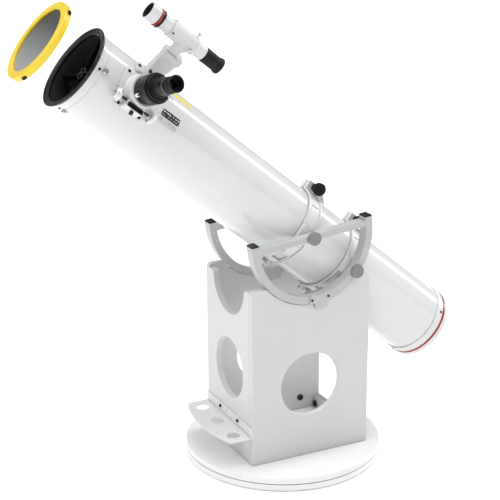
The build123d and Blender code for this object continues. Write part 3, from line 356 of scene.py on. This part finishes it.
def tube_paint(name, origin, edge):
    """White gloss enamel, flat black nearer the axis than the edge radius."""
    s = painted(name, (0.73, 0.74, 0.74), 0.15, grain=420.0, depth=0.00001, coat=0.6,
                patch=0.01, spread=0.03)
    fade = 0.1 * MM
    inside = s.ramp(s.axis_distance(origin), edge - fade, edge + fade, 1.0, 0.0)
    shader = s.tree.nodes.new("ShaderNodeBsdfPrincipled")
    soot = s.blend(s.ramp(s.noise(60.0, 4.0), 0.3, 0.7), (0.012, 0.012, 0.013), (0.022, 0.022, 0.024))
    s.link(soot, shader.inputs["Base Color"])
    s.link(s.ramp(s.noise(900.0), 0.3, 0.7, 0.6, 0.8), shader.inputs["Roughness"])
    mix = s.tree.nodes.new("ShaderNodeMixShader")
    s.link(inside, mix.inputs[0])
    s.link(s.shader.outputs[0], mix.inputs[1])
    s.link(shader.outputs[0], mix.inputs[2])
    s.link(mix.outputs[0], s.output.inputs["Surface"])
    return s.material


def turned_metal(name, colour, rough, origin, axis, metal=1.0):
    """Lathe-turned metal: fine rings round an axis, smudges, edges painted brighter as highlight and
    wear, painted shade in creases.
    """
    s = Surface(name)
    turning_lines = 14000.0
    rings = s.maths("SINE", s.maths("MULTIPLY", s.height_along(axis, origin), turning_lines))
    wobble = s.noise(300.0, 3.0)
    height = s.maths("ADD", s.maths("MULTIPLY", rings, 0.5), wobble)
    deep = tuple(c * 0.86 for c in colour)
    tone = s.blend(s.ramp(s.noise(45.0, 4.0), 0.35, 0.65), deep, colour)
    # Painted highlight and wear: the edges are brighter than the metal.
    edge_highlight = tuple(min(1, c * 1.15) for c in colour)
    tone = s.blend(s.maths("MULTIPLY", s.edges(0.0008), 0.6), tone, edge_highlight)
    # Painted shade: creases and inner corners darkened by ambient occlusion.
    tone = s.crease_shade(tone, tuple(c * 0.35 for c in colour), 0.004)
    gloss = s.ramp(s.noise(90.0, 4.0), 0.3, 0.7, rough - 0.05, rough + 0.08)
    s.set(Base_Color=tone, Roughness=gloss, Metallic=metal)
    s.relief(height, 0.000012, 0.0004)
    return s.material


def rubber(name):
    """Black rubber: chalky patches, fine pits, low gloss, edges painted paler as highlight and wear.
    """
    s = Surface(name)
    tone = s.blend(s.ramp(s.noise(30.0, 5.0), 0.35, 0.7), (0.006, 0.006, 0.006), (0.014, 0.014, 0.015))
    # Painted highlight and wear: the edges are paler than the rubber.
    tone = s.blend(s.maths("MULTIPLY", s.edges(0.0012), 0.5), tone, (0.03, 0.03, 0.032))
    gloss = s.ramp(s.noise(70.0, 4.0), 0.3, 0.7, 0.42, 0.6)
    s.set(Base_Color=tone, Roughness=gloss, Specular_IOR_Level=0.22)
    s.relief(s.noise(3200.0, 3.0), 0.00006, 0.0006)
    return s.material


def felt(name):
    """Black felt lining: tangled fibres."""
    s = Surface(name)
    fibre = s.noise(1800.0, 6.0, 0.8, (1.0, 3.0, 1.0))
    tone = s.blend(s.ramp(fibre, 0.35, 0.7), (0.015, 0.015, 0.016), (0.07, 0.07, 0.072))
    s.set(Base_Color=tone, Roughness=0.95, Sheen_Weight=0.5, Sheen_Roughness=0.5)
    s.relief(fibre, 0.0004)
    return s.material


def mirror(name, colour, rough):
    """Aluminised glass with a faint haze of dust."""
    s = Surface(name)
    haze = s.ramp(s.noise(26.0, 6.0, 0.7), 0.45, 0.75)
    tone = s.blend(s.maths("MULTIPLY", haze, 0.25), colour, tuple(c * 0.8 for c in colour))
    s.set(Base_Color=tone, Roughness=s.ramp(haze, 0.0, 1.0, rough, rough + 0.08), Metallic=1.0)
    s.relief(s.noise(5.0, 2.0), 0.00001)
    return s.material


def film(name):
    """Metallised foil, slightly rippled, paler towards its lower edge as a painted reflection."""
    s = Surface(name)
    ripple = s.noise(16.0, 2.0, 0.4, (1.0, 2.2, 1.0))
    # Painted reflection: the foil is paler towards its lower edge and darker towards its top.
    lift = s.height_along(UP, PIVOT)
    tone = s.blend(s.ramp(lift, -0.080, 0.050), (0.45, 0.455, 0.46), (0.045, 0.047, 0.051))
    tone = s.blend(s.maths("MULTIPLY", s.ramp(ripple, 0.3, 0.7), 0.12), tone, (0.2, 0.2, 0.21))
    speck = s.ramp(s.noise(700.0, 2.0), 0.70, 0.74)
    tone = s.blend(s.maths("MULTIPLY", speck, 0.4), tone, (0.3, 0.3, 0.31))
    s.set(Base_Color=tone, Roughness=s.ramp(ripple, 0.3, 0.7, 0.30, 0.42), Metallic=0.25)
    s.relief(ripple, 0.0005)
    return s.material


def lens(name, tint):
    """Coated glass seen as a dark, tinted gloss surface."""
    s = Surface(name)
    facing = s.node("ShaderNodeLayerWeight", Blend=0.4).outputs["Facing"]
    tone = s.blend(facing, (0.006, 0.007, 0.010), tint)
    dust_and_shade = s.ramp(s.noise(600.0, 3.0), 0.72, 0.78)
    tone = s.blend(s.maths("MULTIPLY", dust_and_shade, 0.3), tone, (0.2, 0.2, 0.2))
    s.set(Base_Color=tone, Roughness=s.ramp(s.noise(40.0), 0.3, 0.7, 0.02, 0.07), Coat_Weight=1.0)
    s.relief(s.noise(12.0), 0.00001)
    return s.material


def printed(name, ground, ink, bands):
    """Printed label: a ground colour with plain bars of ink across it, along the tube."""
    s = Surface(name)
    across = s.height_along(UP, PIVOT)
    pale = tuple(min(1, c * 1.08 + 0.004) for c in ground)
    tone = s.blend(s.ramp(s.noise(80.0), 0.35, 0.65), ground, pale)
    for middle, half in bands:
        offset = s.maths("ABSOLUTE", s.maths("SUBTRACT", across, middle * MM))
        bar = s.ramp(offset, half * MM * 0.92, half * MM * 1.08, 1.0, 0.0)
        broken = s.ramp(s.noise(260.0, 2.0, 0.5, (1.0, 1.0, 0.4)), 0.44, 0.50)
        tone = s.blend(s.maths("MULTIPLY", bar, broken), tone, ink)
    s.set(Base_Color=tone, Roughness=s.ramp(s.noise(70.0), 0.3, 0.7, 0.28, 0.38))
    s.relief(s.noise(900.0), 0.00002)
    return s.material


looks = {
    "white_laminate": laminate("laminate_white", (0.645, 0.65, 0.645)),
    "tube_white": tube_paint("tube_enamel", PIVOT, TUBE_BORE),
    "frame_grey": painted("frame_powder", (0.50, 0.505, 0.51), 0.34, patch=0.02).material,
    "ring_white": painted(
        "cast_white", (0.76, 0.76, 0.755), 0.30, grain=1800.0, depth=0.00005, patch=0.012
    ).material,
    "black_metal": painted(
        "black_anodised", (0.006, 0.006, 0.0065), 0.24, spread=0.05, patch=0.2, specular=0.3
    ).material,
    "black_plastic": painted(
        "black_moulded", (0.005, 0.005, 0.0055), 0.36, grain=1400.0, depth=0.00008, patch=0.2,
        specular=0.16,
    ).material,
    "grey_plastic": painted(
        "grey_moulded", (0.22, 0.225, 0.225), 0.45, grain=1600.0, depth=0.00006
    ).material,
    "white_plastic": painted(
        "white_moulded", (0.70, 0.70, 0.695), 0.4, grain=1600.0, depth=0.00006, patch=0.012
    ).material,
    "yellow_plastic": painted(
        "yellow_moulded", (0.88, 0.64, 0.035), 0.30, grain=1500.0, depth=0.00004
    ).material,
    "red_trim": painted("red_gloss", (0.36, 0.006, 0.014), 0.2, coat=0.4).material,
    "rubber": rubber("rubber_black"),
    "felt": felt("felt_black"),
    "steel": turned_metal("steel_plain", (0.55, 0.55, 0.56), 0.32, PIVOT, Vector((0, 0, 1))),
    "dark_steel": painted(
        "black_oxide", (0.03, 0.03, 0.032), 0.35, metal=0.6, patch=0.2, spread=0.05
    ).material,
    "chrome": turned_metal("chrome_bright", (0.78, 0.78, 0.79), 0.12, FOCUS_FOOT, FOCUS_OUT),
    "aluminium": turned_metal("aluminium_turned", (0.84, 0.84, 0.85), 0.40, FOCUS_FOOT, ALONG),
    "mirror": mirror("mirror_front", (0.88, 0.90, 0.92), 0.02),
    "film": film("solar_film"),
    "glide_pad": painted("slip_pad", (0.72, 0.72, 0.70), 0.45).material,
}
for part in record["subparts"]:
    obj = nodes[part["node"]]
    obj.data.materials.clear()
    obj.data.materials.append(looks[part["material_slot"]])
# Painted light: the ground and turntable boards get a paler copy of the white laminate, which
# brightens their tops.
lit_laminate = laminate("laminate_painted_lit", (0.85, 0.855, 0.85))
for name in ("ground_board", "turntable_board"):
    nodes[name].data.materials[0] = lit_laminate
finder_paint = tube_paint("finder_enamel", FINDER_LINE, FINDER_BORE)
nodes["finder_objective"].data.materials[0] = finder_paint


def fluted(count, depth, low, high):
    """Grips cut into a turned knob between two heights in mm."""
    def factor(radius, height, turn):
        if not low <= height <= high:
            return 1.0
        return 1.0 - depth * (0.5 + 0.5 * math.cos(count * turn)) ** 2
    return factor


def threaded(radius, low, high, pitch=1.0, depth=0.45):
    """Outline points of a threaded length, as close rings."""
    count = int((high - low) / (pitch / 2))
    heights = [low + (high - low) * step / count for step in range(count + 1)]
    return [(radius - depth * (step % 2), height) for step, height in enumerate(heights)]


# ---------------------------------------------------------------- clamp knobs of the tube rings
def clamp_knob(end):
    """Ribbed black knob, its collar and its threaded stud."""
    joint = joints[end + "_knob_turn"]
    body = joint["child"]
    matrix = placed(Vector(joint["pos_m"]), Vector(joint["axis"]), ALONG)
    head = (
        (0, 26.2), (9.4, 26.2), (10.0, 28.0), (13.2, 28.6), (14.8, 29.6), (15.6, 31.4), (15.6, 40.2),
        (15.2, 42.0), (13.8, 43.6), (11.6, 44.4), (11.0, 44.0), (8.0, 44.6), (4.0, 45.2), (0, 45.4),
    )
    mesh = lathe(end + "_knob_head", matrix, head, 192, fluted(24, 0.07, 29.0, 43.0))
    knob = piece(end + "_knob_head", mesh, body, looks["black_plastic"], 50)
    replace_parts(knob, end + "_ring_knob")
    collar = (
        (0, 13.4), (8.4, 13.4), (9.0, 14.0), (9.0, 17.0), (8.2, 17.6), (8.2, 19.0), (9.0, 19.6),
        (9.0, 25.4), (8.6, 26.0), (0, 26.0),
    )
    mesh = lathe(end + "_knob_collar", matrix, collar, 64)
    piece(end + "_knob_collar", mesh, body, looks["black_plastic"])
    washer = ((0, 12.4), (7.6, 12.4), (7.8, 12.7), (7.8, 13.1), (0, 13.3))
    mesh = lathe(end + "_knob_washer", matrix, washer, 64)
    piece(end + "_knob_washer", mesh, body, looks["chrome"])
    stud = [(0, -17.0), (3.0, -17.0)] + threaded(3.7, -16.4, 12.3) + [(0, 12.4)]
    mesh = lathe(end + "_knob_stud", matrix, stud, 48)
    piece(end + "_knob_stud", mesh, body, looks["steel"], 80)


for end in ("front", "rear"):
    clamp_knob(end)

# ---------------------------------------------------------------- focus knobs
FOCUS_KNOB = (
    (3.1, 37.0), (6.6, 37.0), (7.0, 37.4), (7.0, 39.8), (12.8, 40.2), (14.4, 40.8), (15.0, 41.8),
    (15.0, 46.0), (14.6, 46.8), (12.8, 47.6), (12.4, 48.2), (12.4, 50.0), (11.9, 51.2), (10.6, 52.4),
    (8.4, 53.2), (7.4, 53.3), (7.2, 52.8), (6.4, 52.6), (6.0, 53.0), (3.1, 53.0),
)


def focus_knob(name, forward):
    """Turned knob with a knurled rim and a stepped crown."""
    matrix = placed(SHAFT, ALONG * forward, FOCUS_OUT)
    mesh = lathe(name, matrix, FOCUS_KNOB, 288, fluted(60, 0.035, 41.4, 46.4))
    return piece(name, mesh, "focus_drive", looks["aluminium"], 40)


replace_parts(focus_knob("focus_knob_front", 1), "focus_knobs")
focus_knob("focus_knob_back", -1)
for name, forward in (("knob_button_front", 1), ("knob_button_back", -1)):
    matrix = placed(SHAFT, ALONG * forward, FOCUS_OUT)
    button = ((0, 51.2), (2.9, 51.2), (2.9, 53.0), (2.3, 53.7), (1.0, 54.0), (0, 54.0))
    piece(name, lathe(name, matrix, button, 48), "focus_drive", looks["dark_steel"])

# ---------------------------------------------------------------- eyepiece and finder glass
RIBS = [(17.55 - 0.35 * (step % 2), 219.6 + step * 0.9) for step in range(13)]
EYECUP = (
    [(11.5, 216.2), (17.2, 216.2), (17.6, 217.0), (17.6, 219.2)] + RIBS
    + [(17.3, 232.0), (18.0, 234.0), (18.5, 236.4), (18.3, 237.5), (17.5, 238.0), (16.6, 237.8),
       (15.8, 236.6), (14.6, 231.0), (13.6, 224.0), (13.2, 222.0), (11.5, 221.6)]
)
cup = piece("eyecup_ribbed", lathe("eyecup_ribbed", FOCUS_FRAME, EYECUP, 128),
            "eyepiece", looks["rubber"], 60)
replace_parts(cup, "eyecup")
coated_green = lens("lens_green", (0.010, 0.035, 0.022))
coated_purple = lens("lens_purple", (0.030, 0.012, 0.040))
EYE_LENS = ((0, 210.5), (10.9, 210.5), (10.9, 213.6), (8.0, 214.7), (4.0, 215.3), (0, 215.5))
piece("eyepiece_lens", lathe("eyepiece_lens", FOCUS_FRAME, EYE_LENS, 96),
      "eyepiece", coated_green, 60)


def finder_matrix():
    """Local frame on the finder's axis; heights along it count as distances along the tube."""
    start = FINDER_LINE + ALONG * (PIVOT - FINDER_LINE).dot(ALONG)
    return placed(start, ALONG, FOCUS_OUT)


FINDER_OUT = (FINDER_LINE - PIVOT - ALONG * (FINDER_LINE - PIVOT).dot(ALONG)).normalized()
FINDER_SIDE = ALONG.cross(FINDER_OUT)
OBJECTIVE = ((0, 625.7), (16.6, 625.7), (16.6, 626.2), (12.0, 627.4), (6.0, 628.1), (0, 628.4))
piece("finder_lens", lathe("finder_lens", finder_matrix(), OBJECTIVE, 96),
      "finder", coated_purple, 60)
FINDER_EYE = ((0, 446.9), (6.0, 447.2), (10.0, 448.0), (11.8, 448.7), (11.8, 448.95), (0, 448.95))
piece("finder_eye_lens", lathe("finder_eye_lens", finder_matrix(), FINDER_EYE, 96),
      "finder_eyepiece", coated_green, 60)

# ---------------------------------------------------------------- finder ring and screws
BLACK_BAND = ((16.1, 606.2), (19.6, 606.2), (20.2, 607.0), (20.2, 611.4), (16.1, 611.4))
RED_BAND = (
    (16.1, 611.6), (20.0, 611.6), (20.2, 612.0), (20.2, 616.0), (19.6, 616.8), (16.1, 616.8),
)
FINDER_CELL = (
    ("finder_ring_black", "black_metal", BLACK_BAND),
    ("finder_ring_red", "red_trim", RED_BAND),
)
for name, slot_name, outline in FINDER_CELL:
    mesh = lathe(name, finder_matrix(), outline, 128)
    part = piece(name, mesh, "finder", looks[slot_name])
    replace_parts(part, "finder_ring")

HOLDER_R = 17.6
FINDER_SCREWS = (
    ("finder_set_a", 574, 40, False),
    ("finder_set_b", 574, 160, False),
    ("finder_set_c", 574, 280, False),
    ("finder_thumb_a", 520, 20, True),
    ("finder_thumb_b", 520, 265, True),
)


def finder_screw(name, station, angle, thumb):
    """Small set screw, or a white thumb screw, through the finder's holder."""
    base = finder_matrix()
    turn = math.radians(angle)
    out = FINDER_OUT * math.cos(turn) + FINDER_SIDE * math.sin(turn)
    matrix = placed(base @ Vector((0, 0, station * MM)) + out * (HOLDER_R * MM), out, ALONG)
    if thumb:
        outline = (
            (0, 0), (1.8, 0), (1.8, 4.0), (2.6, 4.2), (2.6, 7.0), (3.6, 7.4), (4.4, 8.0), (4.4, 12.2),
            (3.8, 12.9), (1.6, 13.0), (1.4, 12.5), (0, 12.5),
        )
        mesh = lathe(name, matrix, outline, 144, fluted(18, 0.09, 7.8, 12.4))
        return piece(name, mesh, "finder", looks["white_plastic"], 50)
    outline = ((0, 0), (1.8, 0), (1.8, 3.2), (1.5, 3.6), (0.9, 3.6), (0.8, 2.2), (0, 2.2))
    return piece(name, lathe(name, matrix, outline, 32), "finder", looks["dark_steel"])


for name, station, angle, thumb in FINDER_SCREWS:
    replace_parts(finder_screw(name, station, angle, thumb), "finder_screws")

# ---------------------------------------------------------------- labels on the tube
PLATE_BARS = ((33.4, 1.5), (27.4, 0.6))
plate = printed("label_black", (0.015, 0.015, 0.016), (0.75, 0.75, 0.75), PLATE_BARS)
piece("label_plate", sticker("label_plate", TUBE_R, 447, 19.7, 50, 16.5), "tube", plate)
NOTE_BARS = ((18.0, 0.7), (14.6, 0.7), (11.2, 0.5))
notes = printed("label_grey", (0.60, 0.61, 0.62), (0.25, 0.25, 0.26), NOTE_BARS)
piece("label_notes", sticker("label_notes", TUBE_R, 446, 8.8, 50, 15), "tube", notes)
strip = painted("strip_yellow", (0.86, 0.72, 0.12), 0.4, grain=900.0).material
strip_mesh = sticker("strip_label", TUBE_R, 427, 60.0, 53, 13.5, corner=1.2)
piece("strip_label", strip_mesh, "tube", strip)


# ---------------------------------------------------------------- screw heads
def socket_head(name, matrix, radius, thick, recess, body, slot_name):
    """Screw head with a rounded rim and a hexagonal socket, sitting on the matrix's plane, in mm."""
    def hexagon(reach, height, turn):
        if reach > recess:
            return 1.0
        part = turn % (math.tau / 6) - math.tau / 12
        return math.cos(math.tau / 12) / math.cos(part)

    outline = (
        (0, 0), (radius, 0), (radius, thick * 0.6), (radius - thick * 0.35, thick),
        (recess + 0.4, thick), (recess, thick - 0.1), (recess, thick * 0.15), (0, thick * 0.12),
    )
    return piece(name, lathe(name, matrix, outline, 72, hexagon), body, looks[slot_name], 30)


TRAY_FACE_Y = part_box("rocker_screws")[0].y
TRAY_SCREW_X, TRAY_SCREW_Z = 49, 121
for name, sign in (("tray_screw_left", -1), ("tray_screw_right", 1)):
    spot = Vector((sign * TRAY_SCREW_X * MM, TRAY_FACE_Y, TRAY_SCREW_Z * MM))
    matrix = placed(spot, Vector((0, -1, 0)), SIDE)
    socket_head(name, matrix, 3.7, 1.0, 1.9, "rocker", "dark_steel")

CONNECTOR_RISE, CONNECTOR_Y, CONNECTOR_Z = 4 * MM, 110 * MM, 66 * MM
CONNECTOR_HEAD = (6.2, 1.4, 2.8)
PANEL_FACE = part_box("side_panel_right")[0].x - CONNECTOR_RISE
for name, sign, end in (
    ("connector_a", 1, 1), ("connector_b", 1, -1), ("connector_c", -1, 1), ("connector_d", -1, -1),
):
    spot = Vector((sign * PANEL_FACE, end * CONNECTOR_Y, CONNECTOR_Z))
    matrix = placed(spot, Vector((-sign, 0, 0)), Vector((0, 1, 0)))
    socket_head(name, matrix, *CONNECTOR_HEAD, "rocker", "dark_steel")
BRACE_LOW, BRACE_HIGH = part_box("rear_brace")
BRACE_CONNECTOR_X, BRACE_CONNECTOR_Z = 102.5 * MM, 44 * MM
for name, sign in (("connector_e", -1), ("connector_f", 1)):
    spot = Vector((sign * BRACE_CONNECTOR_X, BRACE_LOW.y - CONNECTOR_RISE, BRACE_CONNECTOR_Z))
    matrix = placed(spot, Vector((0, -1, 0)), SIDE)
    socket_head(name, matrix, *CONNECTOR_HEAD, "rocker", "dark_steel")

LEAN = math.radians(7)
ARC_MIDDLE_R, CLIP_FACE_X, CLIP_SPREAD = 148.3, 133.2, 8.4
for sign, side_name in ((1, "right"), (-1, "left")):
    for spread, place_name in ((-CLIP_SPREAD, "front"), (CLIP_SPREAD, "back")):
        turn = math.radians(spread - 90) + LEAN
        spot = PIVOT + Vector((0, math.cos(turn), math.sin(turn))) * (ARC_MIDDLE_R * MM)
        spot.x = sign * CLIP_FACE_X * MM
        matrix = placed(spot, Vector((sign, 0, 0)), Vector((0, 1, 0)))
        name = f"clip_screw_{side_name}_{place_name}"
        socket_head(name, matrix, 2.7, 0.8, 1.3, "cradle", "dark_steel")

# ---------------------------------------------------------------- darker grey band on the top edge of the brace
band = bmesh.new()
bmesh.ops.create_cube(band, size=1.0)
BAND_THICK = 0.2 * MM
BAND_INSET = 2 * MM
band_size = BRACE_HIGH - BRACE_LOW
band_size.y -= BAND_INSET
band_size.z = BAND_THICK
bmesh.ops.scale(band, vec=band_size, verts=band.verts)
band_middle = (BRACE_LOW + BRACE_HIGH) / 2
band_middle.z = BRACE_HIGH.z + BAND_THICK / 2
bmesh.ops.translate(band, vec=band_middle, verts=band.verts)
band_mesh = bpy.data.meshes.new("brace_edge_band")
band.to_mesh(band_mesh)
band.free()
edge_band = painted("edge_band_grey", (0.36, 0.36, 0.35), 0.5, grain=1200.0).material
piece("brace_edge_band", band_mesh, "rocker", edge_band)

# ---------------------------------------------------------------- nuts beside the finder's foot
SHOE_HALF = 13.6 * MM
WASHER_THICK = 1.0
SHOE_ANGLE = math.degrees(math.atan2(FINDER_OUT.dot(UP), FINDER_OUT.dot(SIDE)))
SHOE_NUTS = (("shoe_nut_a", 541, 113), ("shoe_nut_b", 528, 113), ("shoe_nut_c", 516, 114))
for name, station, radius in SHOE_NUTS:
    start = tube_point(station, SHOE_ANGLE, radius) - FINDER_SIDE * SHOE_HALF
    matrix = placed(start, -FINDER_SIDE, ALONG)
    washer = ((0, 0), (5.2, 0), (5.2, 0.7), (4.9, WASHER_THICK), (0, WASHER_THICK))
    mesh = lathe(name + "_washer", matrix, washer, 64)
    piece(name + "_washer", mesh, "tube", looks["chrome"])
    raised = placed(start - FINDER_SIDE * (WASHER_THICK * MM), -FINDER_SIDE, ALONG)
    socket_head(name, raised, 3.7, 3.2, 1.7, "tube", "dark_steel")

# ---------------------------------------------------------------- fine lines on turned pieces
SEAM = ((90.9, 632.6), (91.07, 632.7), (91.07, 633.1), (90.9, 633.2))
seam_paint = painted("seam_grey", (0.30, 0.30, 0.30), 0.5).material
seam_frame = placed(PIVOT, ALONG, SIDE)
piece("collar_seam", lathe("collar_seam", seam_frame, SEAM, 192), "tube", seam_paint)
MARK = ((17.0, 206.5), (17.95, 206.6), (18.05, 207.1), (17.0, 207.2))
mark_paint = painted("mark_white", (0.75, 0.75, 0.75), 0.4).material
piece("eyepiece_mark", lathe("eyepiece_mark", FOCUS_FRAME, MARK, 128), "eyepiece", mark_paint)

# ---------------------------------------------------------------- stage
floor_mesh = bpy.data.meshes.new("floor")
FLOOR_HALF = 40.0
floor_work = bmesh.new()
bmesh.ops.create_grid(floor_work, x_segments=1, y_segments=1, size=FLOOR_HALF)
floor_work.to_mesh(floor_mesh)
floor_work.free()
floor = bpy.data.objects.new("floor", floor_mesh)
floor.location.z = cad_low.z
bpy.context.scene.collection.objects.link(floor)
paper = Surface("studio_floor")
mottle = paper.noise(3.0, 2.0)
pale = paper.blend(mottle, (0.93, 0.93, 0.93), (0.95, 0.95, 0.95))
paper.set(Base_Color=pale, Roughness=0.9, Emission_Color=(1.0, 1.0, 1.0, 1.0), Emission_Strength=0.17)
floor_mesh.materials.append(paper.material)

CAMERA_PLACE = Vector((2.4826, -1.2990, 1.3862))
world = bpy.data.worlds.new("studio")
world.use_nodes = True
world.node_tree.nodes["Background"].inputs["Color"].default_value = (0.97, 0.985, 1.0, 1.0)
world.node_tree.nodes["Background"].inputs["Strength"].default_value = 0.36
bpy.context.scene.world = world
bpy.context.scene.view_settings.view_transform = "Standard"


def sun(name, direction, strength, spread):
    """Soft distant light shining along a direction."""
    data = bpy.data.lights.new(name, "SUN")
    data.energy = strength
    data.angle = math.radians(spread)
    obj = bpy.data.objects.new(name, data)
    obj.rotation_mode = "QUATERNION"
    obj.rotation_quaternion = Vector(direction).to_track_quat("-Z", "Y")
    bpy.context.scene.collection.objects.link(obj)


sun("key", (0.25, 0.85, -0.65), 0.95, 50)
sun("top", (-0.1, -0.1, -1.0), 2.3, 70)


def inner_fill(place, power, radius):
    """Soft light between the panels, on the azimuth axis, not itself seen."""
    data = bpy.data.lights.new("inner_fill", "POINT")
    data.energy = power
    data.shadow_soft_size = radius
    obj = bpy.data.objects.new("inner_fill", data)
    obj.location = place
    obj.visible_camera = False
    obj.visible_glossy = False
    bpy.context.scene.collection.objects.link(obj)


FILL_PLACE, FILL_POWER, FILL_RADIUS = (0.03, 0, 0.20), 0.28, 0.06
inner_fill(FILL_PLACE, FILL_POWER, FILL_RADIUS)


def softbox(name, place, aim, width, height, power):
    """Rectangular soft light at a place, aimed at a point, its height along the tube."""
    data = bpy.data.lights.new(name, "AREA")
    data.shape = "RECTANGLE"
    data.size, data.size_y = width, height
    data.energy = power
    obj = bpy.data.objects.new(name, data)
    obj.matrix_world = placed(Vector(place), Vector(place) - Vector(aim), SIDE)
    bpy.context.scene.collection.objects.link(obj)


TUBE_MIDDLE = tube_point(150, 0, 0)
STRIP_TURN = math.radians(45)
strip_normal = SIDE * math.cos(STRIP_TURN) + UP * math.sin(STRIP_TURN)
view = (CAMERA_PLACE - TUBE_MIDDLE).normalized()
bounce = (2 * strip_normal.dot(view) * strip_normal - view).normalized()
STRIP_AWAY, STRIP_WIDTH, STRIP_HEIGHT, STRIP_POWER = 3.0, 0.42, 3.4, 28
softbox(
    "strip", TUBE_MIDDLE + bounce * STRIP_AWAY, TUBE_MIDDLE, STRIP_WIDTH, STRIP_HEIGHT, STRIP_POWER
)

# ---------------------------------------------------------------- camera
AZIMUTH, RISE, ROLL = math.radians(63.99), math.radians(17.25), math.radians(-0.32)
backward = Vector((
    math.sin(AZIMUTH) * math.cos(RISE), -math.cos(AZIMUTH) * math.cos(RISE), math.sin(RISE)
))
right = (-backward).cross(Vector((0, 0, 1))).normalized()
upward = right.cross(-backward)
turned_right = right * math.cos(ROLL) + upward * math.sin(ROLL)
turned_up = upward * math.cos(ROLL) - right * math.sin(ROLL)
camera = bpy.data.objects.new("camera", bpy.data.cameras.new("camera"))
camera.data.sensor_width = 36.0
camera.data.lens = 88.2
camera.matrix_world = Matrix((turned_right, turned_up, backward)).transposed().to_4x4()
camera.location = CAMERA_PLACE
bpy.context.scene.collection.objects.link(camera)
bpy.context.scene.camera = camera
